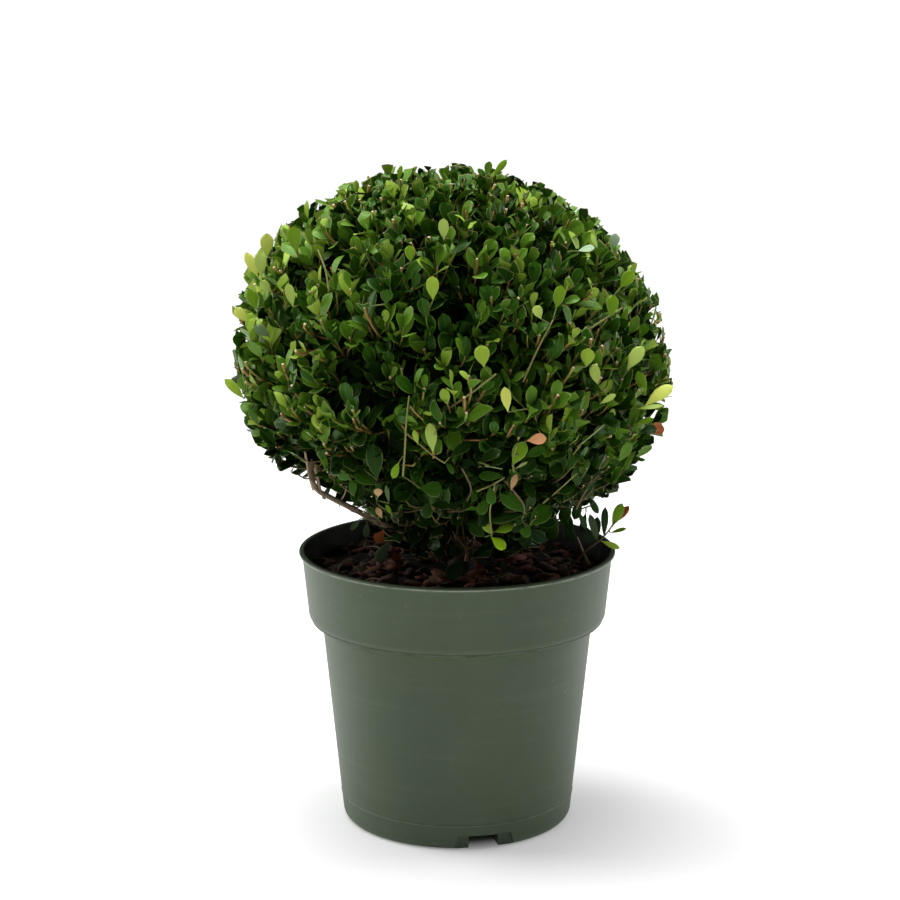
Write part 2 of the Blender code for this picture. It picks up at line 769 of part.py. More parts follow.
def main():
    clear_scene()
    build_pot()
    build_soil()

    trunk = build_trunk("trunk", 0.0)
    finish(trunk, bark_material("trunk"), 50)
    trunk_tool = build_trunk("trunk_clearance", GAP)
    hide_tool(trunk_tool)
    for side in SIDES:
        finish(build_bough(side, trunk_tool), bark_material("bough " + side), 50)

    spaces = {side: Space(side_faces(side)) for side in SIDES}
    spaces["top"] = Space(top_faces())
    sites = {side: [] for side in spaces}
    rng = random.Random(SITE_SEED)
    for direction in even_directions(LEAF_SITES):
        site = crown_point(direction) - direction * rng.uniform(*SITE_DEPTHS)
        deepest = max(spaces, key=lambda side: spaces[side].depth(site))
        if spaces[deepest].holds(site):
            sites[deepest].append(spaces[deepest].moved_in(site))

    for seed, side in enumerate(spaces):
        if side in SIDES:
            path, face = bough_path(side)
            azimuth = math.radians(SIDES[side][0])
            hub = outward(azimuth) * HUB_RADIUS + UP * HUB_HEIGHT
            entry, normal = path[-1], face.normal
        else:
            hub = TOP_HUB
            entry, normal = trunk_axis(1.0) + UP * (GAP / 2), UP
        mass, leaves = grow_mass("foliage_" + side, spaces[side], entry, normal, hub,
                                 sites[side], seed)
        finish(mass, make_material("leaves " + side, LEAF_COLOR, 0.4))
        print(mass.name, leaves, "leaves")


main()
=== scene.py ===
# %% [markdown]
# # A Japanese holly clipped to a ball, in its nursery pot
#
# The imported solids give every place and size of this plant, but they are plain. This lesson puts real
# surfaces over them: a moulded pot, bark and peat, barked limbs, and thousands of small leaves. The first
# cell only loads the solids. They are never moved, so a new piece fits by being made where its solid is.

# %% Load the solids
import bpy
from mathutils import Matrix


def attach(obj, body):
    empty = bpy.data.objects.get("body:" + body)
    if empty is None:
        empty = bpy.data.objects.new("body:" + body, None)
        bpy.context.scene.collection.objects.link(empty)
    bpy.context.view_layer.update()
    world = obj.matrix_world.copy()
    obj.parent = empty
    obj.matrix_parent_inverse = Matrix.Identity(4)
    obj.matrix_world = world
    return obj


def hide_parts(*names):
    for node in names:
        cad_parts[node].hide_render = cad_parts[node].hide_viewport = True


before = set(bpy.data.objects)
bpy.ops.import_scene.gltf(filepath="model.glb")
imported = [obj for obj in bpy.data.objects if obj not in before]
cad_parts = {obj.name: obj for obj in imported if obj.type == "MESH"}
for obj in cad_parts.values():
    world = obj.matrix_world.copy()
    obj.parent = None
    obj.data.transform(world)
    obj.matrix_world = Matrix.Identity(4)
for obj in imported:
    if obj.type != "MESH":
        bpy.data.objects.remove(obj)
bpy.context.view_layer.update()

import copy
import math

import bmesh
import bpy
import numpy as np
from mathutils import Matrix, Vector, noise

# %% [markdown]
# ## The camera
#
# A camera can be placed by eye, but an error of one degree already shows at the pot's rim. This one comes
# from measuring the ellipses of the rim, the collar and the foot: it stands 1.4 m away, a little above the
# crown, and looks down by twelve degrees through a long lens.

# %% The camera
LOOKING_DOWN = 0.2072

camera_data = bpy.data.cameras.new("camera")
camera_data.sensor_width = 36.0
camera_data.lens = 93.5
camera = bpy.data.objects.new("camera", camera_data)
camera.location = (-0.0043, -1.365, 0.5127)
camera.rotation_euler = (math.pi / 2 - LOOKING_DOWN, 0.0, 0.0)
bpy.context.scene.collection.objects.link(camera)
bpy.context.scene.camera = camera
bpy.context.scene.view_settings.view_transform = "Standard"
print("camera at", camera.location[:])

# %% [markdown]
# ## A small language for materials
#
# A material is a graph of nodes, and a graph written node by node is hard to read. So one class wraps an
# output and lets Python's operators add the Math nodes: 1 - mask then means what it says. A second class
# owns the material and makes every other kind of node with one method.

# %% Wires and paints
class Wire:
    """A node's output. Python's operators on it add Math nodes."""

    def __init__(self, paint, socket):
        self.paint = paint
        self.socket = socket

    def maths(self, operation, first, second):
        return self.paint.node("ShaderNodeMath", {"operation": operation}, {0: first, 1: second})

    def __add__(self, other):
        return self.maths("ADD", self, other)

    def __sub__(self, other):
        return self.maths("SUBTRACT", self, other)

    def __rsub__(self, other):
        return self.maths("SUBTRACT", other, self)

    def __mul__(self, other):
        return self.maths("MULTIPLY", self, other)

    __radd__ = __add__
    __rmul__ = __mul__


class Paint:
    """A material and the nodes in it."""

    def __init__(self, name):
        self.material = bpy.data.materials.new(name)
        self.material.use_nodes = True
        self.tree = self.material.node_tree
        self.shader = self.tree.nodes["Principled BSDF"]

    def feed(self, socket, value):
        if isinstance(value, Wire):
            self.tree.links.new(value.socket, socket)
        else:
            socket.default_value = value

    def node(self, kind, settings, inputs, output=0):
        made = self.tree.nodes.new(kind)
        for name, value in settings.items():
            setattr(made, name, value)
        for name, value in inputs.items():
            self.feed(made.inputs[name], value)
        return Wire(self, made.outputs[output])

    def set(self, values):
        for name, value in values.items():
            self.feed(self.shader.inputs[name], value)
        return self.material

    def stretched(self, place, scale):
        return self.node("ShaderNodeMapping", {}, {"Vector": place, "Scale": scale})

    def place(self, scale=(1, 1, 1)):
        return self.stretched(self.node("ShaderNodeTexCoord", {}, {}, "Object"), scale)

    def height(self):
        return self.node("ShaderNodeSeparateXYZ", {}, {0: self.place()}, 2)

    def distance(self, scale=(1, 1, 1)):
        """How far a place lies from the origin, or from the upright axis with a scale of 1, 1, 0."""
        return self.node("ShaderNodeVectorMath", {"operation": "LENGTH"}, {0: self.place(scale)}, 1)

    def noise(self, place, scale, detail):
        return self.node("ShaderNodeTexNoise", {}, {"Vector": place, "Scale": scale, "Detail": detail})

    def ramp(self, value, low, high):
        """Nothing below low and one above high, or the other way round when low is the larger."""
        return self.node("ShaderNodeMapRange", {"interpolation_type": "SMOOTHSTEP"},
                         {"Value": value, "From Min": low, "From Max": high})

    def band(self, value, low, high, edge):
        """One between low and high, easing to nothing within edge outside them."""
        return self.ramp(value, low - edge, low) * self.ramp(value, high + edge, high)

    def patches(self, place, scale, detail, low, high):
        """Soft patches where the noise is above low, full where it is above high."""
        return self.ramp(self.noise(place, scale, detail), low, high)

    def blend(self, share, first, second):
        return self.node("ShaderNodeMix", {"data_type": "RGBA"}, {0: share, 6: first, 7: second}, 2)

    def bump(self, height, distance, strength=1.0):
        return self.node("ShaderNodeBump", {},
                         {"Height": height, "Distance": distance, "Strength": strength})


def color(red, green, blue):
    return (red, green, blue, 1.0)


print("materials can now be written as expressions")

# %% [markdown]
# ## The studio
#
# Product pictures like this one are taken in a light tent: white floor, and large soft lamps at both sides
# and above. The camera's side stays darker, which is why the round pot is palest at its two edges. A pale
# sky with three area lamps gives the same falloff, and the floor glows a little so that it stays white into
# the distance. Under and just round the pot the glow fades to nothing, a painted contact shadow.

# %% The studio
FLOOR_HALF = 60.0
PAINTED_SHADOW_REACH, HORIZON = (0.052, 0.074), (0.15, 2.2)
GLOW_NEAR, GLOW_FAR = (0.30, 0.30, 0.305), (0.95, 0.95, 0.95)
SKY_STRENGTH = 0.10


def link(name, data):
    obj = bpy.data.objects.new(name, data)
    bpy.context.scene.collection.objects.link(obj)
    return obj


def mesh_of(name, bm):
    """Turn a bmesh into a mesh and let the bmesh go."""
    mesh = bpy.data.meshes.new(name)
    bm.to_mesh(mesh)
    bm.free()
    return mesh


def soft_lamp(name, place, target, size, power):
    lamp = bpy.data.lights.new(name, "AREA")
    lamp.shape = "RECTANGLE"
    lamp.size, lamp.size_y = size
    lamp.energy = power
    obj = link(name, lamp)
    obj.location = place
    obj.rotation_euler = (Vector(target) - Vector(place)).to_track_quat("-Z", "Y").to_euler()


floor_bm = bmesh.new()
bmesh.ops.create_grid(floor_bm, x_segments=8, y_segments=8, size=FLOOR_HALF)
floor = link("floor", mesh_of("floor", floor_bm))
floor_paint = Paint("white floor")
reach = floor_paint.distance()
# painted shadow: the floor's glow is nothing under the pot and rises just outside it, a painted contact
# shadow
glow_with_painted_shadow = floor_paint.blend(floor_paint.ramp(reach, *PAINTED_SHADOW_REACH), color(0, 0, 0), color(*GLOW_NEAR))
floor_glow = floor_paint.blend(floor_paint.ramp(reach, *HORIZON), glow_with_painted_shadow, color(*GLOW_FAR))
floor.data.materials.append(floor_paint.set({
    "Base Color": color(0.86, 0.86, 0.86), "Roughness": 0.6, "Specular IOR Level": 0.2,
    "Emission Color": floor_glow, "Emission Strength": 1.0}))

world = bpy.data.worlds.new("light tent")
world.use_nodes = True
sky = world.node_tree.nodes["Background"].inputs
sky["Color"].default_value = color(1.0, 1.0, 0.98)
sky["Strength"].default_value = SKY_STRENGTH
bpy.context.scene.world = world

soft_lamp("lamp_left", (-1.20, 0.35, 0.75), (0, 0, 0.22), (0.9, 1.2), 13.0)
soft_lamp("lamp_right", (1.20, 0.45, 0.65), (0, 0, 0.20), (0.8, 1.1), 7.5)
soft_lamp("lamp_top", (-0.10, 0.05, 1.35), (0, 0, 0.25), (0.9, 0.9), 22.0)
print("three lamps and a floor")

# %% [markdown]
# ## Making and hanging pieces
#
# A few pieces here are turned or lofted, and some are thousands of small copies. Both end as one mesh whose
# object sits at the origin, so one helper hangs each of them on the solids: it rides on the body, takes its
# finishes, and hides the solids that it stands for.

# %% Making and hanging pieces
def hang(name, mesh, materials, stands_for=()):
    for material in materials:
        mesh.materials.append(material)
    piece = link(name, mesh)
    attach(piece, "root")
    if stands_for:
        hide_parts(*stands_for)
    mesh.calc_loop_triangles()
    print(f"{name}: {len(mesh.loop_triangles)} triangles")


def mesh_from_arrays(name, places, face_groups, slots=None):
    """A mesh from an array of places and arrays of faces; each array's faces have the same corners."""
    mesh = bpy.data.meshes.new(name)
    corners = np.concatenate([group.ravel() for group in face_groups]).astype(np.int32)
    counts = np.concatenate([np.full(len(group), group.shape[1]) for group in face_groups])
    starts = np.concatenate([[0], np.cumsum(counts)[:-1]]).astype(np.int32)
    mesh.vertices.add(len(places))
    mesh.vertices.foreach_set("co", np.ascontiguousarray(places, np.float32).ravel())
    mesh.loops.add(len(corners))
    mesh.loops.foreach_set("vertex_index", corners)
    mesh.polygons.add(len(counts))
    mesh.polygons.foreach_set("loop_start", starts)
    if slots is not None:
        mesh.polygons.foreach_set("material_index", slots.astype(np.int32))
    mesh.update(calc_edges=True)
    mesh.shade_smooth()
    return mesh


def unit(vectors):
    return vectors / np.maximum(np.linalg.norm(vectors, axis=-1, keepdims=True), 1e-9)


UP = np.array([0.0, 0.0, 1.0])
GAP = 0.0003


def outward(azimuth):
    return np.array([math.cos(azimuth), math.sin(azimuth), 0.0])


def polar(azimuth, radius, height):
    return outward(azimuth) * radius + UP * height


print("helpers for pieces are ready")

# %% [markdown]
# ## The pot's outline
#
# A nursery pot is injection moulded: a thin tapering tub, a wide collar that stiffens it, and a rolled lip.
# Such a round part is drawn as half of its section and spun. The section repeats the solid's own numbers
# with finer roundings. It adds what the mould leaves: a crisp edge under the collar, and a faint raised
# ring near the foot.

# %% The pot's outline
POT_HEIGHT = 0.1658
WALL = 0.0018
FLOOR_THICKNESS = 0.0020
FOOT_RADIUS, FOOT_ROUNDING, BASE_RADIUS = 0.0656, 0.0060, 0.0698
WAIST_RADIUS, WAIST_HEIGHT = 0.0812, 0.1193
COLLAR_SLOPE, COLLAR_ROUNDING = math.radians(38), 0.0055
COLLAR_FOOT_RADIUS, COLLAR_FOOT_HEIGHT = 0.0896, 0.1285
COLLAR_TOP_RADIUS, LIP_RADIUS, LIP_DEPTH = 0.0931, 0.0950, 0.0030
EDGE_PROUD, EDGE_TURN = 0.0006, math.radians(8)
BEAD_HALF = 0.0010
RING_HEIGHT, RING_PROUD, RING_HALF = 0.0152, 0.00025, 0.0006
MOUTH_CUT, MOUTH_LAP = 0.0008, 0.0002
PAST = 0.01
TURN_STEPS = 160


def arc(centre, radii, start, end, steps):
    angles = [start + (end - start) * step / steps for step in range(steps + 1)]
    return [(centre[0] + radii[0] * math.cos(a), centre[1] + radii[1] * math.sin(a)) for a in angles]


def wall_radius(height):
    share = (height - FOOT_ROUNDING) / (WAIST_HEIGHT - FOOT_ROUNDING)
    return BASE_RADIUS + (WAIST_RADIUS - BASE_RADIUS) * share


def collar_radius_inside(height):
    share = (height - COLLAR_FOOT_HEIGHT) / (POT_HEIGHT - LIP_DEPTH - COLLAR_FOOT_HEIGHT)
    return COLLAR_FOOT_RADIUS + (COLLAR_TOP_RADIUS - COLLAR_FOOT_RADIUS) * share - WALL


def collar_curve(inset, proud=0.0):
    """The rounding under the collar. With proud, it starts in an edge that stands out by so much."""
    centre = (COLLAR_FOOT_RADIUS - COLLAR_ROUNDING, COLLAR_FOOT_HEIGHT)
    start = COLLAR_SLOPE - math.pi / 2
    bend, edge = COLLAR_ROUNDING - inset, COLLAR_ROUNDING + proud
    corner = arc(centre, (edge, edge), start, start + EDGE_TURN / 4, 1) if proud else []
    return corner + arc(centre, (bend, bend), start + (EDGE_TURN if proud else 0.0), 0.0, 6)


def outside_line():
    foot = arc((FOOT_RADIUS, FOOT_ROUNDING), (BASE_RADIUS - FOOT_RADIUS, FOOT_ROUNDING),
               -math.pi / 2, 0.0, 6)
    ring = [(wall_radius(RING_HEIGHT + RING_HALF * step) + proud, RING_HEIGHT + RING_HALF * step)
            for step, proud in ((-1.0, 0.0), (-0.4, RING_PROUD), (0.4, RING_PROUD), (1.0, 0.0))]
    waist = [(WAIST_RADIUS, WAIST_HEIGHT)]
    collar_top = [(COLLAR_TOP_RADIUS, POT_HEIGHT - LIP_DEPTH)]
    lip = arc((LIP_RADIUS - BEAD_HALF, POT_HEIGHT - BEAD_HALF), (BEAD_HALF, BEAD_HALF),
              -math.pi / 2, math.pi / 2, 8)
    return ([(0.0, 0.0)] + foot + ring + waist + collar_curve(0.0, EDGE_PROUD) + collar_top + lip
            + [(0.0, POT_HEIGHT)])


def inside_points(inset):
    """The inside of the pot from the floor to the collar, moved in by inset."""
    foot_radii = (BASE_RADIUS - WALL - FOOT_RADIUS, FOOT_ROUNDING - FLOOR_THICKNESS - inset)
    foot = arc((FOOT_RADIUS - inset, FOOT_ROUNDING), foot_radii, -math.pi / 2, 0.0, 3)
    return foot + [(WAIST_RADIUS - WALL - inset, WAIST_HEIGHT)] + collar_curve(WALL + inset)


def cavity_line():
    """The half section of the tool that hollows the pot and chamfers its mouth."""
    chamfer, over = POT_HEIGHT - MOUTH_CUT, POT_HEIGHT + PAST
    wide = collar_radius_inside(POT_HEIGHT) + MOUTH_CUT
    mouth = [(collar_radius_inside(chamfer), chamfer), (wide, POT_HEIGHT + MOUTH_LAP),
             (wide, over), (0.0, over)]
    return [(0.0, FLOOR_THICKNESS)] + inside_points(0.0) + mouth


def spun(name, line):
    """Spin a half section round Z. Merged doubles close the poles before the normals are worked out."""
    bm = bmesh.new()
    corners = [bm.verts.new((radius, 0.0, height)) for radius, height in line]
    edges = [bm.edges.new(pair) for pair in zip(corners, corners[1:])]
    bmesh.ops.spin(bm, geom=corners + edges, cent=(0, 0, 0), axis=(0, 0, 1), angle=math.tau,
                   steps=TURN_STEPS, use_merge=True)
    bmesh.ops.remove_doubles(bm, verts=bm.verts, dist=1e-6)
    bmesh.ops.recalc_face_normals(bm, faces=bm.faces)
    return link(name, mesh_of(name, bm))


print("outline of", len(outside_line()), "points")

# %% [markdown]
# ## Drain notches
#
# Two low notches let water out under the foot, each with a short tunnel that runs in to a hole. In the
# solid the pot's floor rises over each tunnel in a small hump. Cutting is the natural way to make them: a
# block is drawn once, turned to its place, and taken away with a Boolean. The same block, grown by the
# wall, is first taken from the tool that hollows the pot, which leaves the hump.

# %% Drain notches
NOTCH_COUNT = 2
NOTCH_TURNS = [math.radians(13.7) - math.pi / 2 + number * math.tau / NOTCH_COUNT
               for number in range(NOTCH_COUNT)]
NOTCH_HEIGHT, NOTCH_WIDTH, NOTCH_TOP_WIDTH, NOTCH_DEPTH = 0.0088, 0.0420, 0.0320, 0.0050
TUNNEL_WIDTH, TUNNEL_HEIGHT, TUNNEL_LENGTH = 0.0180, 0.0078, 0.0220
DRAIN_RADIUS, DRAIN_SIDES = 0.0035, 20


def block(bm, near, far, low_width, high_width, top, turn):
    """A block from below the foot up to top, narrower there, turned round the pot's axis."""
    made = bmesh.ops.create_cube(bm, size=1.0)["verts"]
    for vert in made:
        width = high_width if vert.co.z > 0 else low_width
        vert.co = Vector((far if vert.co.x > 0 else near, math.copysign(width / 2, vert.co.y),
                          top if vert.co.z > 0 else -PAST))
    bmesh.ops.rotate(bm, verts=made, cent=(0, 0, 0), matrix=Matrix.Rotation(turn, 3, "Z"))


def cutters(grow):
    """The notches and the tunnels as two objects, because each tool must be free of crossings."""
    notches, tunnels = bmesh.new(), bmesh.new()
    inner = BASE_RADIUS - NOTCH_DEPTH
    for turn in NOTCH_TURNS:
        block(notches, inner - grow, BASE_RADIUS + PAST, NOTCH_WIDTH + 2 * grow,
              NOTCH_TOP_WIDTH + 2 * grow, NOTCH_HEIGHT + grow, turn)
        block(tunnels, inner - TUNNEL_LENGTH - grow, inner + NOTCH_DEPTH / 2, TUNNEL_WIDTH + 2 * grow,
              TUNNEL_WIDTH + 2 * grow, TUNNEL_HEIGHT + grow, turn)
    return [link("notches", mesh_of("notches", notches)), link("tunnels", mesh_of("tunnels", tunnels))]


def drain_holes():
    bm = bmesh.new()
    radius = BASE_RADIUS - NOTCH_DEPTH - TUNNEL_LENGTH + TUNNEL_WIDTH / 2
    for turn in NOTCH_TURNS:
        spot = Vector(polar(turn, radius, TUNNEL_HEIGHT + WALL / 2))
        bmesh.ops.create_cone(bm, cap_ends=True, segments=DRAIN_SIDES, radius1=DRAIN_RADIUS,
                              radius2=DRAIN_RADIUS, depth=2 * WALL, matrix=Matrix.Translation(spot))
    return link("drain_holes", mesh_of("drain_holes", bm))


def cut(body, tools):
    """Take the tools away from a body, keep the result as its mesh, and drop the tools."""
    for tool in tools:
        modifier = body.modifiers.new("cut", "BOOLEAN")
        modifier.operation = "DIFFERENCE"
        modifier.object = tool
    bpy.context.view_layer.update()
    result = bpy.data.meshes.new_from_object(body.evaluated_get(bpy.context.evaluated_depsgraph_get()))
    body.modifiers.clear()
    body.data = result
    for tool in tools:
        bpy.data.objects.remove(tool, do_unlink=True)
    return body


def taken_mesh(obj, name, sharp_angle):
    """The mesh of an object that has done its work, smooth but for edges sharper than an angle."""
    mesh = obj.data
    bpy.data.objects.remove(obj, do_unlink=True)
    mesh.name = name
    mesh.shade_smooth()
    mesh.set_sharp_from_angle(angle=math.radians(sharp_angle))
    return mesh


hollow = cut(spun("hollow", cavity_line()), cutters(WALL))
tub = cut(spun("tub", outside_line()), [hollow] + cutters(0.0) + [drain_holes()])
pot_mesh = taken_mesh(tub, "pot_shell", sharp_angle=28)
print("the pot has", len(pot_mesh.polygons), "faces")

# %% [markdown]
# ## Satin green plastic
#
# The pot is grey-green recycled plastic with a satin skin. Close up it isn't even: the skin has a fine
# grain from the mould, water has left an upright haze, the plastic's own flow shows as faint level streaks,
# and handling has rubbed the edge under the collar and the ring pale, and left small scuffs. The lip and
# the mouth's inner edge are paler too, partly from wear and partly as a painted highlight. Inside, the wall
# below the mouth is painted nearly black as a painted shade. Each of these is one mask that is built from
# noise, height and radius.

# %% Satin green plastic
LIP_RUB_AND_HIGHLIGHT = (0.1638, 0.1646, 0.0004)
EDGE_RUB = (0.1236, 0.1243, 0.0003)
RING_RUB = (0.0149, 0.0155, 0.0003)
MOUTH_RUB_AND_HIGHLIGHT = (0.0916, 0.0921, 0.0003)
PLASTIC, PLASTIC_HAZED, PLASTIC_OLIVE = (0.045, 0.071, 0.035), (0.116, 0.146, 0.093), (0.054, 0.074, 0.030)
RUBBED_AND_HIGHLIGHT, PAINTED_INSIDE_SHADE = (0.250, 0.265, 0.215), (0.006, 0.005, 0.003)


def pot_plastic():
    """The finish of the pot. A pale band, worn and on the lip and mouth partly a painted highlight, has its
    two ends and the width of its soft edge.
    """
    paint = Paint("satin green plastic")
    place, height, radius = paint.place(), paint.height(), paint.distance((1, 1, 0))
    haze = paint.patches(paint.place((1, 1, 0.16)), 34, 4, 0.42, 0.74)
    cloud = paint.patches(place, 13, 5, 0.38, 0.70)
    flow = paint.patches(paint.place((0.5, 0.5, 7)), 26, 4, 0.50, 0.72)
    olive = paint.patches(place, 16, 3, 0.46, 0.66)
    scuff = paint.patches(paint.place((1, 1, 3.2)), 120, 2, 0.735, 0.765)
    speck = paint.patches(place, 260, 1, 0.79, 0.82)
    grain = paint.noise(place, 1500, 2)
    foot_dust = paint.ramp(height, 0.0260, 0.0010) * paint.patches(place, 60, 5, 0.40, 0.70)
    # painted shade: the inside wall above the collar's foot goes nearly black, a little less so near the
    # mouth
    inner = paint.ramp(radius - height * 0.102, 0.0760, 0.0752) * paint.ramp(height, 0.1200, 0.1300)
    inside_shade = inner * (0.84 + 0.16 * paint.ramp(paint.noise(place, 90, 5) + height * -30, -4.30, -4.10))
    # painted highlight: the top of the lip and the mouth's inner edge are made pale, partly as wear and
    # partly as a highlight
    lip_line = paint.band(height, *LIP_RUB_AND_HIGHLIGHT) * paint.ramp(radius, 0.0940, 0.0946)
    mouth_line = paint.band(radius, *MOUTH_RUB_AND_HIGHLIGHT) * paint.ramp(height, 0.1640, 0.1648)
    edge_line = paint.band(height, *EDGE_RUB) * paint.ramp(radius, 0.0868, 0.0874)
    lines = lip_line * 0.75 + mouth_line * 0.60 + edge_line * 0.40 + paint.band(height, *RING_RUB) * 0.22
    rubbed_and_highlight = lines * paint.patches(place, 110, 4, 0.30, 0.60) + scuff * 0.14 + speck * 0.25
    dust = haze * 0.16 + cloud * 0.16 + flow * 0.10 + foot_dust * 0.14
    body = paint.blend(dust, color(*PLASTIC), color(*PLASTIC_HAZED))
    worn = paint.blend(rubbed_and_highlight, paint.blend(olive * 0.35, body, color(*PLASTIC_OLIVE)), color(*RUBBED_AND_HIGHLIGHT))
    rough = 0.42 + inside_shade * 0.5 + haze * 0.08 + cloud * 0.06 + foot_dust * 0.12 + scuff * 0.10 + grain * 0.05
    relief = grain * 0.6 + scuff * 0.8 + speck * 1.5 + paint.noise(place, 320, 3)
    return paint.set({"Base Color": paint.blend(inside_shade, worn, color(*PAINTED_INSIDE_SHADE)),
                      "Roughness": rough, "Specular IOR Level": 0.36,
                      "Normal": paint.bump(relief, 0.00006, 0.5)})


hang("pot_shell", pot_mesh, [pot_plastic()], ["pot"])

# %% [markdown]
# ## Potting mix
#
# Nursery mix is dark peat with composted bark on top. The peat is one spun body whose top is pushed up and
# down by noise, coarse for the clods and fine for the crumbs. It follows the solid's top, level round the
# trunk and a little lower at the wall.

# %% Potting mix
SOIL_HEIGHT = 0.1535
SOIL_EDGE_DROP = 0.0025
SOIL_LEVEL_RADIUS = 0.0180
SOIL_BUMP = 0.0012
SOIL_WAVES = ((5, 40), (3, -170))
CLODS = ((110, 0.0011), (330, 0.0006))
PEAT_RINGS = 42


def soil_height(radius, azimuth):
    """The height of the solid's top, level near the trunk and waved towards the wall."""
    if radius <= SOIL_LEVEL_RADIUS:
        return SOIL_HEIGHT
    out = (radius - SOIL_LEVEL_RADIUS) / (COLLAR_TOP_RADIUS - SOIL_LEVEL_RADIUS)
    wave = sum(math.sin(turns * azimuth + rate * radius) for turns, rate in SOIL_WAVES)
    return SOIL_HEIGHT - SOIL_EDGE_DROP * out ** 2 + SOIL_BUMP * wave / 2 * min(1.0, 3 * out)


def rough_top(x, y):
    spot = Vector((x, y, 0.0))
    clods = sum(noise.noise(spot * rate) * height for rate, height in CLODS)
    return soil_height(math.hypot(x, y), math.atan2(y, x)) + clods


def peat_body():
    edge = SOIL_HEIGHT - SOIL_EDGE_DROP
    rings = np.linspace(collar_radius_inside(edge) - GAP, 0.0, PEAT_RINGS)
    line = [(0.0, FLOOR_THICKNESS + GAP)] + inside_points(GAP) + [(radius, edge) for radius in rings]
    body = cut(spun("peat", line), cutters(WALL + GAP))
    for vert in body.data.vertices:
        if vert.co.z > edge - GAP:
            vert.co.z = rough_top(vert.co.x, vert.co.y)
    return taken_mesh(body, "peat", sharp_angle=180)


def peat_paint():
    paint = Paint("damp peat")
    place = paint.place()
    crumbs = paint.noise(place, 420, 6)
    dry = paint.patches(place, 60, 4, 0.40, 0.65)
    flecks = paint.patches(place, 900, 2, 0.66, 0.74)
    ground = paint.blend(dry, color(0.0045, 0.0028, 0.0016), color(0.0190, 0.0110, 0.0065))
    top = paint.blend(flecks * 0.7, ground, color(0.075, 0.045, 0.025))
    return paint.set({"Base Color": top, "Roughness": 0.78 + crumbs * 0.2, "Specular IOR Level": 0.2,
                      "Normal": paint.bump(crumbs, 0.0009)})


hang("peat", peat_body(), [peat_paint()], ["soil"])

# %% [markdown]
# ## Bark chips, fibres
#
# Reddish chips of composted bark lie on the peat, most of them by the rim. Each chip is a block that is
# subdivided and jittered; a handful of such chips is copied a few hundred times with random turns and
# sizes. Copies are made as arrays, because one joined mesh is light and exports cleanly. Pale fibres lie
# between them.

# %% Bark chips
CHIP_TAPER, CHIP_WIDTH, CHIP_THICKNESS, CHIP_JITTER = 0.45, 0.58, 0.22, 0.10
CHIP_SHAPES = 6
CHIP_LENGTH, CHIP_SINK, CHIP_TILT = (0.004, 0.013), (0.0002, 0.0022), 0.35
CHIP_SPREAD = (0.020, 0.084)
CHIPS = {
    "red": (150, color(0.040, 0.014, 0.008), color(0.190, 0.072, 0.038)),
    "brown": (190, color(0.014, 0.008, 0.005), color(0.085, 0.043, 0.025)),
}


def chip_shape(seed):
    """The corners and faces of one flake, a unit long."""
    rng = np.random.default_rng(seed)
    bm = bmesh.new()
    bmesh.ops.create_cube(bm, size=1.0)
    bmesh.ops.subdivide_edges(bm, edges=bm.edges, cuts=1, use_grid_fill=True)
    for vert in bm.verts:
        thin = 1.0 - CHIP_TAPER * abs(vert.co.x) * 2
        vert.co = Vector((vert.co.x, vert.co.y * CHIP_WIDTH * thin, vert.co.z * CHIP_THICKNESS))
        vert.co += Vector(rng.uniform(-CHIP_JITTER, CHIP_JITTER, 3) * (1.0, 0.8, 0.5))
    bmesh.ops.recalc_face_normals(bm, faces=bm.faces)
    places = np.array([vert.co[:] for vert in bm.verts])
    faces = np.array([[vert.index for vert in face.verts] for face in bm.faces])
    bm.free()
    return places, faces


def turned_frames(rng, count, tilt):
    """Random turns about Z, tipped by up to tilt radians, as arrays of three axes."""
    spins = rng.uniform(0, math.tau, count)
    ahead = unit(np.stack([np.cos(spins), np.sin(spins), rng.uniform(-tilt, tilt, count)], 1))
    side = unit(np.cross(UP + rng.uniform(-tilt, tilt, (count, 3)), ahead))
    return np.stack([ahead, side, np.cross(ahead, side)], 1)


def copies(shape, frames, spots):
    """One shape at many spots, as arrays of places and faces."""
    places, faces = shape
    every = np.einsum("pc,ncd->npd", places, frames) + spots[:, None]
    offsets = np.arange(len(spots))[:, None, None] * len(places)
    return every.reshape(-1, 3), (faces[None] + offsets).reshape(-1, faces.shape[1])


def joined(parts):
    """Several (places, faces) pairs as one pair, for faces that all have the same corners."""
    places, faces, start = [], [], 0
    for part_places, part_faces in parts:
        places.append(part_places)
        faces.append(part_faces + start)
        start += len(part_places)
    return np.concatenate(places), np.concatenate(faces)


def strew(rng, count, least_radius, most_radius, sink):
    """Random spots on the peat, each sunk or raised."""
    radius = np.sqrt(rng.uniform(least_radius ** 2, most_radius ** 2, count))
    azimuth = rng.uniform(0, math.tau, count)
    spots = np.stack([radius * np.cos(azimuth), radius * np.sin(azimuth)], 1)
    heights = [rough_top(x, y) for x, y in spots]
    return np.concatenate([spots, np.array(heights)[:, None] + sink], 1)


def chip_paint(name, dark, light):
    paint = Paint(name)
    place = paint.place()
    grain = paint.noise(paint.place((1, 1, 2.5)), 380, 5)
    hue = paint.patches(place, 75, 2, 0.35, 0.65)
    return paint.set({"Base Color": paint.blend(hue * 0.7 + grain * 0.3, dark, light),
                      "Roughness": 0.62 + grain * 0.3, "Specular IOR Level": 0.18,
                      "Normal": paint.bump(grain, 0.0005)})


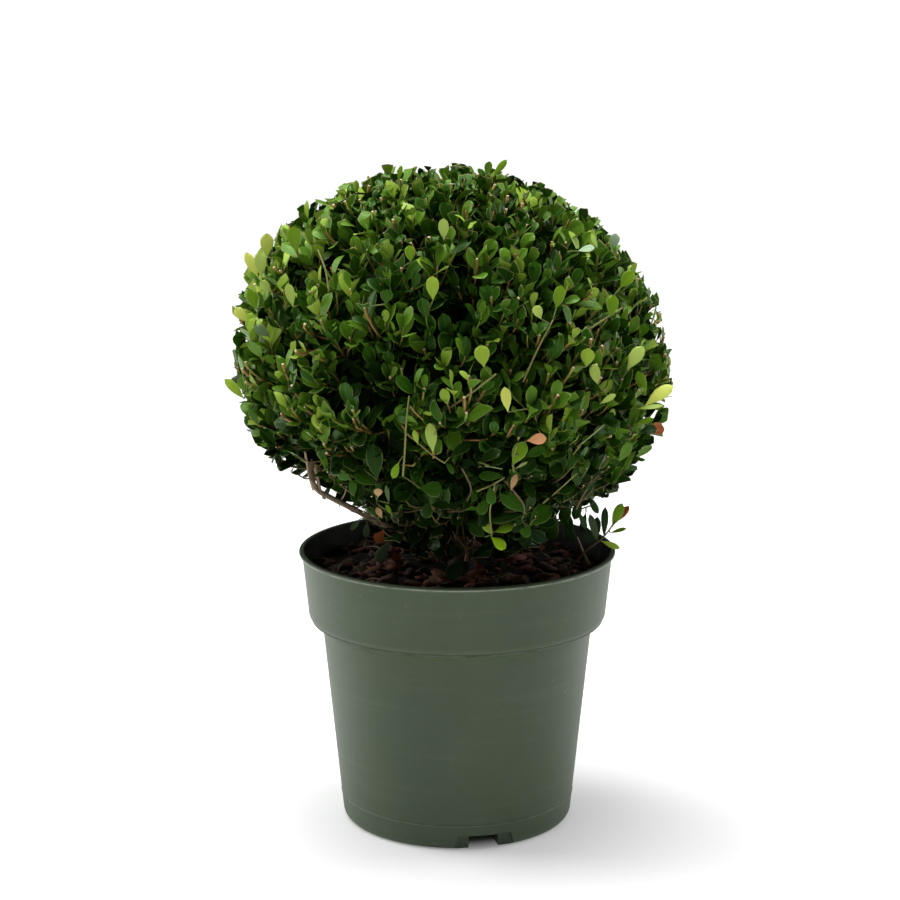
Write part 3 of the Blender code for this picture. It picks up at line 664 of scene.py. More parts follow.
def lay_chips():
    rng = np.random.default_rng(21)
    for kind, (count, dark, light) in CHIPS.items():
        parts, share = [], count // CHIP_SHAPES
        for seed in range(CHIP_SHAPES):
            length = rng.uniform(*CHIP_LENGTH, share)
            spots = strew(rng, share, *CHIP_SPREAD, rng.uniform(*CHIP_SINK, (share, 1)))
            frames = turned_frames(rng, share, CHIP_TILT) * length[:, None, None]
            parts.append(copies(chip_shape(seed), frames, spots))
        places, faces = joined(parts)
        name = "bark_chips_" + kind
        hang(name, mesh_from_arrays(name, places, [faces]), [chip_paint(kind + " bark", dark, light)])


lay_chips()

# %% [markdown]
# ## Tubes
#
# Fibres, twigs and shoots are all thin tubes. A curve object with a bevel would make them one at a time.
# Here all tubes of a kind are made in one go from an array of paths: rings are set square to each path and
# joined by quads, and both ends are closed.

# %% Tubes
def tube_mesh(name, paths, radii, sides):
    """Many tubes as one mesh. Paths are (tubes, rings, 3) and radii (tubes, rings)."""
    along = unit(np.gradient(paths, axis=1))
    whole = unit(paths[:, -1] - paths[:, 0])
    handle = np.where(np.abs(whole[:, :1]) < 0.7, np.array([1.0, 0.0, 0.0]), np.array([0.0, 1.0, 0.0]))
    side = unit(np.cross(along, handle[:, None]))
    other = np.cross(along, side)
    turn = np.arange(sides) * math.tau / sides
    spokes = (side[:, :, None] * np.cos(turn)[:, None] + other[:, :, None] * np.sin(turn)[:, None])
    places = paths[:, :, None] + spokes * radii[:, :, None, None]
    index = np.arange(places[..., 0].size).reshape(places.shape[:3])
    low, high = index[:, :-1], index[:, 1:]
    quads = np.stack([low, np.roll(low, -1, 2), np.roll(high, -1, 2), high], -1).reshape(-1, 4)
    caps = np.concatenate([index[:, 0, ::-1], index[:, -1]])
    return mesh_from_arrays(name, places.reshape(-1, 3), [quads, caps])


def way_along(line):
    """How far each point of a line lies from its start, along it."""
    return np.concatenate([[0], np.cumsum(np.linalg.norm(np.diff(line, axis=0), axis=1))])


def between(wanted, known, rows):
    """Rows of three values, read off between the known ones."""
    return np.stack([np.interp(wanted, known, rows[:, axis]) for axis in range(3)], 1)


def cubic(start, start_pull, end_pull, end, count):
    """Cubic curves between arrays of places, as (curves, count, 3). Single places give one curve."""
    if start.ndim == 1:
        return cubic(start[None], start_pull[None], end_pull[None], end[None], count)[0]
    t = np.linspace(0, 1, count)[:, None]
    s = 1 - t
    rows = (start[:, None], start_pull[:, None], end_pull[:, None], end[:, None])
    weights = (s ** 3, 3 * s * s * t, 3 * s * t * t, t ** 3)
    return sum(row * weight for row, weight in zip(rows, weights))


FIBRES, FIBRE_POINTS, FIBRE_SIDES = 46, 8, 5
FIBRE_SPREAD, FIBRE_RISE, FIBRE_TILT = (0.025, 0.082), (0.001, 0.003), 0.25
FIBRE_LENGTH, FIBRE_RADIUS, FIBRE_BOW = (0.008, 0.026), (0.00018, 0.00042), 0.003
FIBRE_LIMIT, FIBRE_LIFT = 0.086, np.array([0, 0, 0.0008])


def straw_paint():
    paint = Paint("straw fibre")
    tone = paint.patches(paint.place(), 90, 2, 0.35, 0.65)
    return paint.set({"Base Color": paint.blend(tone, color(0.10, 0.06, 0.035), color(0.34, 0.25, 0.15)),
                      "Roughness": 0.7})


def lay_fibres():
    """Bowed fibres whose far ends stay inside the wall and on the peat."""
    rng = np.random.default_rng(5)
    start = strew(rng, FIBRES, *FIBRE_SPREAD, rng.uniform(*FIBRE_RISE, (FIBRES, 1)))
    run = turned_frames(rng, FIBRES, FIBRE_TILT)[:, 0] * rng.uniform(*FIBRE_LENGTH, (FIBRES, 1))
    end = start + run
    inside = np.minimum(1.0, FIBRE_LIMIT / np.maximum(np.hypot(end[:, 0], end[:, 1]), 1e-6))
    end[:, :2] *= inside[:, None]
    end[:, 2] = np.maximum(end[:, 2], SOIL_HEIGHT - 0.001)
    bow = rng.uniform(-FIBRE_BOW, FIBRE_BOW, (2, FIBRES, 3)) + FIBRE_LIFT
    paths = cubic(start, start + run * 0.3 + bow[0], end - run * 0.3 + bow[1], end, FIBRE_POINTS)
    radii = rng.uniform(*FIBRE_RADIUS, (FIBRES, 1)) * np.linspace(1.0, 0.6, FIBRE_POINTS)
    hang("fibres", tube_mesh("fibres", paths, radii, FIBRE_SIDES), [straw_paint()])


lay_fibres()

# %% [markdown]
# ## Trunk and boughs
#
# The trunk is short, leans and swings a little, and flares into its roots. Seven boughs leave it, one of
# them bare and low on the left, where the clipping has opened the ball from below. Their middle lines
# repeat the solid's rule. Old holly bark is nearly smooth, grey-brown, with fine upright creases and small
# raised pores.

# %% Middle lines of the limbs
TRUNK_FOOT_HEIGHT, TRUNK_TIP_HEIGHT = SOIL_HEIGHT + GAP, 0.2852
TRUNK_BASE_RADIUS, TRUNK_TIP_RADIUS, TRUNK_TAPER = 0.0058, 0.0024, 1.3
FLARE_WIDTH, FLARE_HEIGHT, FLARE_LOBES, FLARE_LOBE_SHARE = 0.0034, 0.0055, 5, 0.18
TRUNK_FOOT = np.array([0.0030, 0.0, TRUNK_FOOT_HEIGHT])
TRUNK_LEAN = np.array([-0.0060, 0.0020, 0.0])
TRUNK_BOW = np.array([0.0030, -0.0025, 0.0])
BOUGH_THICKNESS = (0.0029, 0.0019)
BOUGH_START_RUN, BOUGH_START_RISE_SHARE = 0.0110, 0.20
BOUGH_END_RUN, BOUGH_END_RISE_SHARE = 0.0090, 0.45
INNER_FACE = 0.0280
HUB_RADIUS, HUB_HEIGHT = 0.0720, 0.2600
TOP_HUB = np.array([-0.0080, 0.0, 0.3300])
SIDES = {
    "left": (207.0, 0.1680, None),
    "front": (258.4, 0.1830, 0.2240),
    "front_right": (309.9, 0.1740, 0.2160),
    "right": (1.3, 0.1890, 0.2320),
    "back_right": (52.7, 0.1790, 0.2200),
    "back": (104.1, 0.1930, 0.2350),
    "back_left": (155.6, 0.1850, 0.2270),
}
AZIMUTHS = {side: math.radians(row[0]) for side, row in SIDES.items()}
BARE_SIDE = "left"
BARE_RUN_START, BARE_RUN_END = (0.0300, 0.1748), (0.0915, 0.2103)
BARE_SAGS = ((0.3, 0.0006), (0.6, 0.0), (0.85, 0.0))
BARE_TURN_SHARE, BARE_TURN_DROP = 0.55, 0.0010
BARE_TIP_RADIUS, BARE_CLEARANCE = 0.0950, 0.0050
BARE_THICKNESS = (0.0020, 0.0015)
BOUGH_POINTS, BARE_POINTS = 40, 70


def trunk_axis(share):
    rise = UP * ((TRUNK_TIP_HEIGHT - TRUNK_FOOT_HEIGHT) * share)
    return TRUNK_FOOT + TRUNK_LEAN * share + TRUNK_BOW * math.sin(math.tau * share) + rise


def trunk_radius(share):
    taper = TRUNK_TIP_RADIUS + (TRUNK_BASE_RADIUS - TRUNK_TIP_RADIUS) * (1 - share) ** TRUNK_TAPER
    rise = (TRUNK_TIP_HEIGHT - SOIL_HEIGHT) * share
    return taper + FLARE_WIDTH * math.exp(-rise / FLARE_HEIGHT)


def softened(corners, count):
    """An even line through the corners, with each corner eased by its neighbours."""
    way = way_along(corners)
    line = between(np.linspace(0, way[-1], count), way, corners)
    for _ in range(6):
        line[1:-1] = line[1:-1] * 0.5 + (line[:-2] + line[2:]) * 0.25
    return line


def bough_line(side):
    """The middle line of a bough from the trunk to the face where its mass begins."""
    out = outward(AZIMUTHS[side])
    start = trunk_axis((SIDES[side][1] - TRUNK_FOOT_HEIGHT) / (TRUNK_TIP_HEIGHT - TRUNK_FOOT_HEIGHT))
    if side != BARE_SIDE:
        entry = polar(AZIMUTHS[side], INNER_FACE, SIDES[side][2])
        rise = entry[2] - start[2]
        return cubic(start, start + out * BOUGH_START_RUN + UP * rise * BOUGH_START_RISE_SHARE,
                     entry - out * BOUGH_END_RUN - UP * rise * BOUGH_END_RISE_SHARE, entry, BOUGH_POINTS)
    tip = out * BARE_TIP_RADIUS
    tip = tip + UP * ((BARE_FLOOR[0] - tip) @ BARE_FLOOR[1] / BARE_FLOOR[1][2])
    corners = [start, (start + bare_start) / 2, bare_start]
    corners += [bare_start + (bare_end - bare_start) * share - UP * drop for share, drop in BARE_SAGS]
    corners += [bare_end, bare_end + (tip - bare_end) * BARE_TURN_SHARE - UP * BARE_TURN_DROP, tip]
    return softened(np.array(corners), BARE_POINTS)


# The face that keeps the left mass clear of the bare bough: a point on it, and its normal.
bare_start, bare_end = (polar(AZIMUTHS[BARE_SIDE], *run) for run in (BARE_RUN_START, BARE_RUN_END))
bare_normal = unit(np.cross(bare_end - bare_start, np.cross(outward(AZIMUTHS[BARE_SIDE]), UP)))
bare_normal = bare_normal if bare_normal[2] > 0 else -bare_normal
BARE_FLOOR = (bare_start + bare_normal * BARE_CLEARANCE, bare_normal)
BOUGHS = {side: bough_line(side) for side in SIDES}
print("bare bough of", len(BOUGHS[BARE_SIDE]), "points")

# %% [markdown]
# A limb is lofted: a circle is extruded ring by ring along its middle line. Each ring's corners are pushed
# in and out by noise that is drawn out along the limb, so the creases run with it, and knots swell it here
# and there. The bark's UV map follows the limb too.

# %% Loft the limbs
LIMB_SIDES = 20
TRUNK_SHARES = np.linspace(0, 1, 120) ** 1.35
CREASE, PORE = (2.6, 130, 0.055), (5.0, 900, 0.12)
KNOT_LENGTH, TRUNK_KNOTS = 0.0016, [(0.031, 0.16), (0.052, 0.12)]
BOUGH_KNOTS, BOUGH_KNOT_SPREAD, BOUGH_KNOT_HEIGHT = 4, (0.012, 0.095), 0.22
BARK_REPEAT = 0.02


def bark_push(azimuth, length, knots):
    """How far the bark stands out, as a share of the radius."""
    ring = Vector((math.cos(azimuth), math.sin(azimuth), 0.0))
    creases = noise.noise(ring * CREASE[0] + Vector((0, 0, length * CREASE[1])))
    pores = max(0.0, noise.noise(ring * PORE[0] + Vector((7, 0, length * PORE[1])))) ** 2
    swell = sum(height * math.exp(-((length - place) / KNOT_LENGTH) ** 2) for place, height in knots)
    return CREASE[2] * creases + PORE[2] * pores + swell


def next_ring(bm, ring):
    """Extrude a ring of corners and return the new corners in the same order."""
    edges = [edge for vert in ring for edge in vert.link_edges if edge.is_boundary or edge.is_wire]
    made = bmesh.ops.extrude_edge_only(bm, edges=list(set(edges)))["geom"]
    fresh = {item for item in made if isinstance(item, bmesh.types.BMVert)}
    return [next(edge.other_vert(vert) for edge in vert.link_edges if edge.other_vert(vert) in fresh)
            for vert in ring]


def loft(bm, line, radii, knots, lobes=None):
    """Extrude a circle along a line, with relief. Returns each corner's place in the UV map."""
    reach, along = way_along(line), unit(np.gradient(line, axis=0))
    spots = {}
    side = Vector((1.0, 0.0, 0.0))
    ring = bmesh.ops.create_circle(bm, cap_ends=False, segments=LIMB_SIDES, radius=1.0)["verts"]
    for place, centre in enumerate(line):
        if place:
            ring = next_ring(bm, ring)
        tangent = Vector(along[place])
        side = (side - tangent * side.dot(tangent)).normalized()
        other = tangent.cross(side)
        for step, vert in enumerate(ring):
            azimuth = math.tau * step / LIMB_SIDES
            push = 1.0 + bark_push(azimuth, reach[place], knots)
            push *= lobes(reach[place], azimuth) if lobes else 1.0
            spoke = side * math.cos(azimuth) + other * math.sin(azimuth)
            vert.co = Vector(centre) + spoke * radii[place] * push
            spots[vert] = (step / LIMB_SIDES, reach[place] / BARK_REPEAT)
    return spots


def flare_lobes(reach, azimuth):
    return 1.0 + FLARE_LOBE_SHARE * math.exp(-reach / FLARE_HEIGHT) * math.cos(FLARE_LOBES * azimuth)


def map_limbs(bm, spots):
    """Write the UV map. A face that crosses the seam gets its low side moved on by a whole turn."""
    layer = bm.loops.layers.uv.new("along")
    for face in bm.faces:
        turns = [spots[loop.vert][0] for loop in face.loops]
        crosses = max(turns) - min(turns) > 0.5
        for loop, turn in zip(face.loops, turns):
            loop[layer].uv = (turn + (1.0 if crosses and turn < 0.5 else 0.0), spots[loop.vert][1])


def limb_mesh():
    bm = bmesh.new()
    rng = np.random.default_rng(3)
    line = np.array([trunk_axis(share) for share in TRUNK_SHARES])
    spots = loft(bm, line, [trunk_radius(share) for share in TRUNK_SHARES], TRUNK_KNOTS, flare_lobes)
    for side, line in BOUGHS.items():
        thickness = BARE_THICKNESS if side == BARE_SIDE else BOUGH_THICKNESS
        knots = [(place, BOUGH_KNOT_HEIGHT) for place in rng.uniform(*BOUGH_KNOT_SPREAD, BOUGH_KNOTS)]
        spots.update(loft(bm, line, np.linspace(*thickness, len(line)), knots))
    map_limbs(bm, spots)
    bmesh.ops.holes_fill(bm, edges=[edge for edge in bm.edges if edge.is_boundary])
    bmesh.ops.recalc_face_normals(bm, faces=bm.faces)
    mesh = mesh_of("limbs", bm)
    mesh.shade_smooth()
    return mesh


def bark_paint():
    paint = Paint("old holly bark")
    flat = paint.node("ShaderNodeUVMap", {"uv_map": "along"}, {})
    spotted = paint.stretched(flat, (4.0, 9.0, 1.0))
    crease = paint.noise(paint.stretched(flat, (9.0, 1.4, 1.0)), 4.0, 6)
    pore = paint.patches(spotted, 5.0, 2, 0.66, 0.74)
    film = paint.patches(spotted, 0.8, 3, 0.45, 0.70)
    # painted shade: the bark turns nearly black towards the peat, the shade at the trunk's foot
    foot = paint.ramp(paint.height(), 0.172, 0.157)
    body = paint.blend(paint.ramp(crease, 0.30, 0.70), color(0.085, 0.057, 0.032), color(0.300, 0.228, 0.135))
    grey = paint.blend(film * 0.55, body, color(0.330, 0.285, 0.195))
    bark = paint.blend(pore * 0.6, grey, color(0.46, 0.36, 0.25))
    return paint.set({"Base Color": paint.blend(foot * 0.85, bark, color(0.020, 0.014, 0.009)),
                      "Roughness": 0.72 + crease * 0.2,
                      "Normal": paint.bump(crease + pore * 0.8, 0.0005)})


hang("limbs", limb_mesh(), [bark_paint()], ["trunk"] + ["bough_" + side for side in SIDES])

# %% [markdown]
# ## The clipped ball
#
# Everything that grows must end on one surface, the one that the shears left. It is written as a function
# that is negative inside the ball and positive outside, so a whole array of places can be tested at once.
# Shears never cut a perfect ball, so a few slow waves move the surface in and out by a millimetre or two.

# %% The clipped ball
CROWN_CENTRE = np.array([-0.0047, 0.0, 0.2770])
CROWN_RADIUS, CROWN_RISE, CROWN_FALL, CROWN_LEAN = 0.1325, 0.1190, 0.1240, -0.05
RISE_POWER, FALL_ROOT = 2.05, 0.75
CROWN_LEFT_SHARE = 1.022
TOP_FACE_RADIUS, TOP_FACE_HEIGHT, TOP_FACE_SLOPE = 0.0300, 0.3000, 0.75
HALF_SLICE = math.pi / len(SIDES)
SHEAR_INSET, SHEAR_WAVE = 0.0012, 0.0023
WAVE_LENGTHS = (0.014, 0.021, 0.030, 0.042, 0.060, 0.085)
OPENING_LAP, OPENING_RADIUS = 0.002, 0.034


def ball(places, grow=0.0):
    """Below zero inside the ball, which is made larger by grow."""
    arm = places - CROWN_CENTRE
    reach = np.linalg.norm(arm, axis=-1, keepdims=True)
    arm = arm * np.maximum(0.0, 1 - grow / np.maximum(reach[..., 0], 1e-6))[..., None]
    rise = arm[..., 2]
    side = arm[..., 0] - CROWN_LEAN * rise
    side = np.where(side < 0, side * CROWN_LEFT_SHARE, side)
    across = np.hypot(side, arm[..., 1]) / CROWN_RADIUS
    above = across ** 2 + np.abs(rise / CROWN_RISE) ** RISE_POWER - 1
    below = across ** (1 / FALL_ROOT) + (rise / CROWN_FALL) ** 2 - 1
    return np.where(rise >= 0, above, below)


def slow_waves(places, seed, lengths):
    """A sum of waves that run in random directions, mostly between -1 and 1."""
    rng = np.random.default_rng(seed)
    total = 0.0
    for length in lengths:
        total = total + np.sin(places @ (unit(rng.normal(size=3)) * math.tau / length) + rng.uniform(0, 6))
    return total / math.sqrt(len(lengths))


def shear_wave(places):
    return slow_waves(places, 8, WAVE_LENGTHS) * SHEAR_WAVE


def crown_point(directions):
    """Where rays from the ball's centre leave it."""
    near, far = np.zeros(len(directions)), np.full(len(directions), 2 * CROWN_RADIUS)
    for _ in range(24):
        middle = (near + far) / 2
        inside = ball(CROWN_CENTRE + directions * middle[:, None]) < 0
        near, far = np.where(inside, middle, near), np.where(inside, far, middle)
    return CROWN_CENTRE + directions * near[:, None]


def even_directions(count):
    number = np.arange(count)
    height = 1 - (2 * number + 1) / count
    turn = math.pi * (3 - math.sqrt(5)) * number
    level = np.sqrt(1 - height ** 2)
    return np.stack([level * np.cos(turn), level * np.sin(turn), height], 1)


def side_faces(side):
    """The flat faces of a side mass as (point, normal) pairs, each normal pointing into the mass."""
    azimuth = AZIMUTHS[side]
    faces = [(np.zeros(3), np.cross(UP, outward(azimuth - HALF_SLICE))),
             (np.zeros(3), np.cross(outward(azimuth + HALF_SLICE), UP)),
             (outward(azimuth) * INNER_FACE, outward(azimuth)),
             (polar(azimuth, TOP_FACE_RADIUS, TOP_FACE_HEIGHT), unit(polar(azimuth, TOP_FACE_SLOPE, -1)))]
    return faces + [BARE_FLOOR] if side == BARE_SIDE else faces


def top_faces():
    faces = [side_faces(side)[3] for side in SIDES]
    return [(point, -normal) for point, normal in faces] + [(UP * (TRUNK_TIP_HEIGHT + GAP / 2), UP)]


def depth(places, faces):
    """How deep places lie inside a set of faces."""
    return np.min([(places - point) @ normal for point, normal in faces], axis=0)


def in_opening(places):
    """Whether places lie in the space that the photo shows open, under and beside the bare bough."""
    turn = np.arctan2(places[..., 1], places[..., 0]) - AZIMUTHS[BARE_SIDE]
    turn = np.abs((turn + math.pi) % math.tau - math.pi)
    clear = np.hypot(places[..., 0], places[..., 1]) > OPENING_RADIUS
    return (turn < HALF_SLICE) & (depth(places, [BARE_FLOOR]) < -OPENING_LAP) & clear


SPACES = {**{side: side_faces(side) for side in SIDES}, "top": top_faces()}
print("the ball is split into", len(SPACES), "masses")

# %% [markdown]
# ## Where the shoots end
#
# Some thousand directions spread evenly over the ball give each shoot its place in the light. Every place
# belongs to the mass that it lies deepest in, as in the solids. Most shoots stop a little inside, so that
# only their leaves reach the surface; a third are stubs that the shears have cut, and a few have grown on
# since. The ball isn't equally full: slow waves over it say where the sprays stand back and leave a dark
# hollow.

# %% Where the shoots end
SHOOTS = 1750
STUB_SHARE, LONG_SHARE, PROUD_SHARE = 0.36, 0.22, 0.035
HOLLOW_LENGTHS = (0.036, 0.044, 0.055, 0.070)
HOLLOW_WAVE, HOLLOW_BASE, HOLLOW_LOW = 0.9, 0.1, 0.25
HOLLOW_DEPTH, HOLLOW_THIN = 0.018, 0.50
REACHING, STUB, PROUD, LONG = 0, 1, 2, 3
INSETS = np.array([(0.003, 0.016), (0.0005, 0.0040), (0.0, 0.003), (0.002, 0.010)])
growth = np.random.default_rng(17)


def shoot_places():
    directions = unit(even_directions(SHOOTS) + growth.normal(scale=0.020, size=(SHOOTS, 3)))
    surface = crown_point(directions)
    depths = np.array([depth(surface, faces) for faces in SPACES.values()])
    owner = np.argmax(depths, axis=0)
    draw = growth.uniform(size=SHOOTS)
    edges = np.cumsum((STUB_SHARE, LONG_SHARE, PROUD_SHARE))
    kind = np.array([STUB, LONG, PROUD, REACHING])[np.digitize(draw, edges)]
    hollow = slow_waves(surface, 12, HOLLOW_LENGTHS) * HOLLOW_WAVE + HOLLOW_BASE
    hollow = np.clip(hollow - directions[:, 2] * HOLLOW_LOW, 0, 1)
    inset = growth.uniform(*INSETS[kind].T) + hollow * HOLLOW_DEPTH
    held = (np.max(depths, axis=0) > -0.0005) & (growth.uniform(size=SHOOTS) > hollow * HOLLOW_THIN)
    ends = surface - directions * (inset + SHEAR_INSET)[:, None]
    return ends[held], directions[held], owner[held], kind[held]


shoot_ends, shoot_directions, shoot_owner, shoot_kind = shoot_places()
print(len(shoot_ends), "shoots,", (shoot_kind == STUB).sum(), "of them cut and",
      (shoot_kind == PROUD).sum(), "grown past the ball")

# %% [markdown]
# ## Wood from the bough to the shoot
#
# Wood grows here by the solids' rule, carried to finer twigs. A stem runs from the bough's tip to the
# mass's middle. Then targets that lie far from each other are taken, nearest first, and each new twig
# leaves the older wood where the way to its target, plus a part of the way back to the middle, is shortest.
# Three rounds give twigs, side twigs and shoots. Each piece of wood leaves its parent along the parent and
# turns up to the light.

# %% Grow the wood
HUB_PULL = (0.8, 0.5, 0.25)
TWIG_DEPTH = (0.050, 0.028)
TARGETS_PER_TWIG = (24, 6)
PATH_POINTS, FORK_STEPS = 12, (3, 5, 8, 10)
TURN_COST, ARRIVAL_COST, TOO_NEAR_COST = 0.25, 3.5, 9.0
LEAVE_PULL, ARRIVE_PULL, STEM_PULL = 0.30, 0.33, 0.35
TWIG_LEAST, TWIG_RISE, TWIG_STRAY, TWIG_WAVE = 0.008, 0.35, 0.15, 0.0006
SHOOT_STRAY, SHOOT_WAVE = 0.26, 0.0004
SHORT_SHOOT, LONG_SHOOT = (0.026, 1.15), (0.044, 1.45)


def add_wood(wood, path, parent, level, kind=REACHING):
    """Note a piece of wood, and return the forks from which later wood may leave it."""
    wood.append((path, parent, level, kind))
    headings = unit(np.gradient(path, axis=0))
    return [(path[step], headings[step], len(wood) - 1) for step in FORK_STEPS]


def spread_out(places, centre, count):
    """Pick places that lie as far as they can from each other, the one nearest the centre first."""
    picked = [int(np.argmin(np.linalg.norm(places - centre, axis=1)))]
    nearest = np.linalg.norm(places - places[picked[0]], axis=1)
    while len(picked) < count:
        picked.append(int(np.argmax(nearest)))
        nearest = np.minimum(nearest, np.linalg.norm(places - places[picked[-1]], axis=1))
    return picked


def wavy(path, rng, amount):
    """A path with its middle points moved a little, smoothly."""
    push = rng.normal(size=path.shape) * amount
    push[1:-1] = (push[:-2] + push[1:-1] * 2 + push[2:]) / 4
    push[0] = push[-1] = 0.0
    return path + push


def grow_from(forks, hub, end, end_direction, pull, least, rng, amount):
    """The wood that reaches an end from the best fork: its path, and the fork's own wood."""
    places = np.array([fork[0] for fork in forks])
    headings = np.array([fork[1] for fork in forks])
    way = end - places
    length = np.linalg.norm(way, axis=1)
    course = way / np.maximum(length, 1e-6)[:, None]
    turn = 1 - np.einsum("nd,nd->n", course, headings) + ARRIVAL_COST * (1 - course @ end_direction)
    cost = length * (1 + TURN_COST * turn) + pull * np.linalg.norm(places - hub, axis=1)
    best = int(np.argmin(np.where(length < least, TOO_NEAR_COST, cost)))
    start, heading, parent = forks[best]
    reach = length[best]
    leave = unit(heading * 0.8 + unit(way[best]))
    path = cubic(start, start + leave * reach * LEAVE_PULL, end - end_direction * reach * ARRIVE_PULL, end,
                 PATH_POINTS)
    return wavy(path, rng, amount), parent


def grow_mass(wood, mass, name, rng):
    """The stem, the twigs and the shoots of one mass."""
    mine = np.flatnonzero(shoot_owner == mass)
    ends, directions = shoot_ends[mine], shoot_directions[mine]
    if name == "top":
        hub, entry, heading = TOP_HUB, trunk_axis(1.0), UP
    else:
        hub, line = polar(AZIMUTHS[name], HUB_RADIUS, HUB_HEIGHT), BOUGHS[name]
        entry, heading = line[-1], unit(line[-1] - line[-3])
    pull = np.linalg.norm(hub - entry) * STEM_PULL
    stem = cubic(entry, entry + heading * pull, hub - unit(hub - CROWN_CENTRE) * pull, hub, PATH_POINTS)
    forks = add_wood(wood, wavy(stem, rng, SHOOT_WAVE), -1, 0)
    for level, (back, share) in enumerate(zip(TWIG_DEPTH, TARGETS_PER_TWIG)):
        picked = spread_out(ends, hub, max(2, round(len(ends) / share)))
        for index in sorted(picked, key=lambda item: np.linalg.norm(ends[item] - hub)):
            end = ends[index] - unit(directions[index] * 0.8 + UP * 0.6) * back
            if in_opening(end):
                end = ends[index] - unit(ends[index] - hub) * back
            heading = unit(directions[index] * 0.9 + UP * TWIG_RISE + rng.normal(size=3) * TWIG_STRAY)
            forks += add_wood(wood, *grow_from(forks, hub, end, heading, HUB_PULL[level], TWIG_LEAST, rng,
                                               TWIG_WAVE), level + 1)
    for index in np.argsort(np.linalg.norm(ends - hub, axis=1)):
        kind = shoot_kind[mine[index]]
        least, rise = LONG_SHOOT if kind == LONG else SHORT_SHOOT
        heading = unit(directions[index] * 0.60 + UP * rise + rng.normal(size=3) * SHOOT_STRAY)
        add_wood(wood, *grow_from(forks, hub, ends[index], heading, HUB_PULL[2], least, rng, SHOOT_WAVE),
                 3, kind)


wood = []
for mass, name in enumerate(SPACES):
    grow_mass(wood, mass, name, np.random.default_rng(40 + mass))
wood_paths, wood_parents, wood_levels, wood_kinds = (np.array(column) for column in zip(*wood))
lengths = np.linalg.norm(np.diff(wood_paths, axis=1), axis=2).sum(1)
for level, kind in enumerate(("stems", "twigs", "side twigs", "shoots")):
    here = wood_levels == level
    print(f"{here.sum()} {kind} of {lengths[here].mean() * 1000:.0f} mm on average")

# %% [markdown]
# ## Thickness
#
# A branch is about as thick as the wood it carries asks for. So every shoot is counted back through its
# parents, and the radius grows with a root of the count. The stems start as thick as the bough's tip.

# %% Thickness
SHOOT_RADIUS, SHOOT_TIP_SHARE, RADIUS_ROOT = 0.00056, 0.76, 0.26
STEM_RADIUS = 0.0015
STUB_GROWTH = 1.85
SHADE_HEIGHT = 0.240
shaded_wood = wood_paths[:, -1, 2] < SHADE_HEIGHT


def carried():
    """How many shoots each piece of wood carries."""
    counts = (wood_levels == 3).astype(float)
    for index in range(len(counts) - 1, -1, -1):
        if wood_parents[index] >= 0:
            counts[wood_parents[index]] += counts[index]
    return np.maximum(counts, 1.0)


def wood_radii():
    counts = carried()
    low = np.minimum(SHOOT_RADIUS * counts ** RADIUS_ROOT, STEM_RADIUS)
    high = np.where(wood_levels == 3, low * SHOOT_TIP_SHARE,
                    SHOOT_RADIUS * np.maximum(1.0, counts * 0.2) ** RADIUS_ROOT)
    steps = np.linspace(0, 1, PATH_POINTS)
    stub = (wood_kinds == STUB) & ~shaded_wood
    high = np.minimum(high, low) * np.where(stub, STUB_GROWTH, 1.0)
    return low[:, None] * (1 - steps) + high[:, None] * steps


radii = wood_radii()
print(f"stems start {radii[0, 0] * 2000:.1f} mm thick, shoots {radii[-1, 0] * 2000:.1f} mm")

# %% [markdown]
# ## Twigs and shoots as meshes
#
# Older twigs are grey-brown, and shoots run from reddish tan to olive, the youngest green. These colours
# have no place on a twig, they have a place on the plant. So each is a plain colour, and it is dealt out
# twig by twig; all twigs of one colour are one mesh. Shoots in the shade low on the ball are all dark.
# Where the shears cut a shoot, its pale wood shows as a small disc.

# %% Twigs and shoots
CUT_TIP_LENGTH, CUT_TIP_SHARE, CUT_TIP_SIDES = 0.0005, 1.04, 6
YOUTH_SHIFTS, YOUTH_EDGES = (0.0, -0.25, 0.4, 0.1), (0.36, 0.72)
SHOOT_BARKS = {
    "shaded": ((0.115, 0.082, 0.034), 0.60),
    "tan": ((0.350, 0.190, 0.062), 0.55),
    "olive": ((0.300, 0.255, 0.055), 0.50),
    "green": ((0.200, 0.300, 0.055), 0.45),
}


def plain(name, base, roughness, specular=0.18, tint=(1.0, 1.0, 1.0)):
    return Paint(name).set({"Base Color": color(*base), "Roughness": roughness,
                            "Specular IOR Level": specular, "Specular Tint": color(*tint)})


def wood_piece(name, rows, sides, base, roughness, step=1):
    keep = np.r_[0:PATH_POINTS - 1:step, PATH_POINTS - 1]
    mesh = tube_mesh(name, wood_paths[rows][:, keep], radii[rows][:, keep], sides)
    hang(name, mesh, [plain(name + " bark", base, roughness)])


wood_tone = growth.uniform(size=len(wood_paths))
shoots = np.flatnonzero(wood_levels == 3)
youth = wood_tone[shoots] + np.choose(wood_kinds[shoots], YOUTH_SHIFTS)
bark_number = np.where(shaded_wood[shoots], 0, 1 + np.digitize(youth, YOUTH_EDGES))
wood_piece("stems_and_twigs", np.flatnonzero(wood_levels <= 1), 8, (0.120, 0.078, 0.040), 0.75)
wood_piece("side_twigs", np.flatnonzero(wood_levels == 2), 6, (0.150, 0.084, 0.035), 0.65)
for number, (name, (base, roughness)) in enumerate(SHOOT_BARKS.items()):
    wood_piece("shoots_" + name, shoots[bark_number == number], 5, base, roughness, 2)

stubs = np.flatnonzero(wood_kinds == STUB)
stub_ends = wood_paths[stubs][:, [-1, -1]]
stub_ends[:, 1] += unit(wood_paths[stubs, -1] - wood_paths[stubs, -2]) * CUT_TIP_LENGTH
hang("cut_tips", tube_mesh("cut_tips", stub_ends, radii[stubs][:, [-1, -1]] * CUT_TIP_SHARE, CUT_TIP_SIDES),
     [plain("freshly cut wood", (0.72, 0.55, 0.36), 0.7, 0.2)])

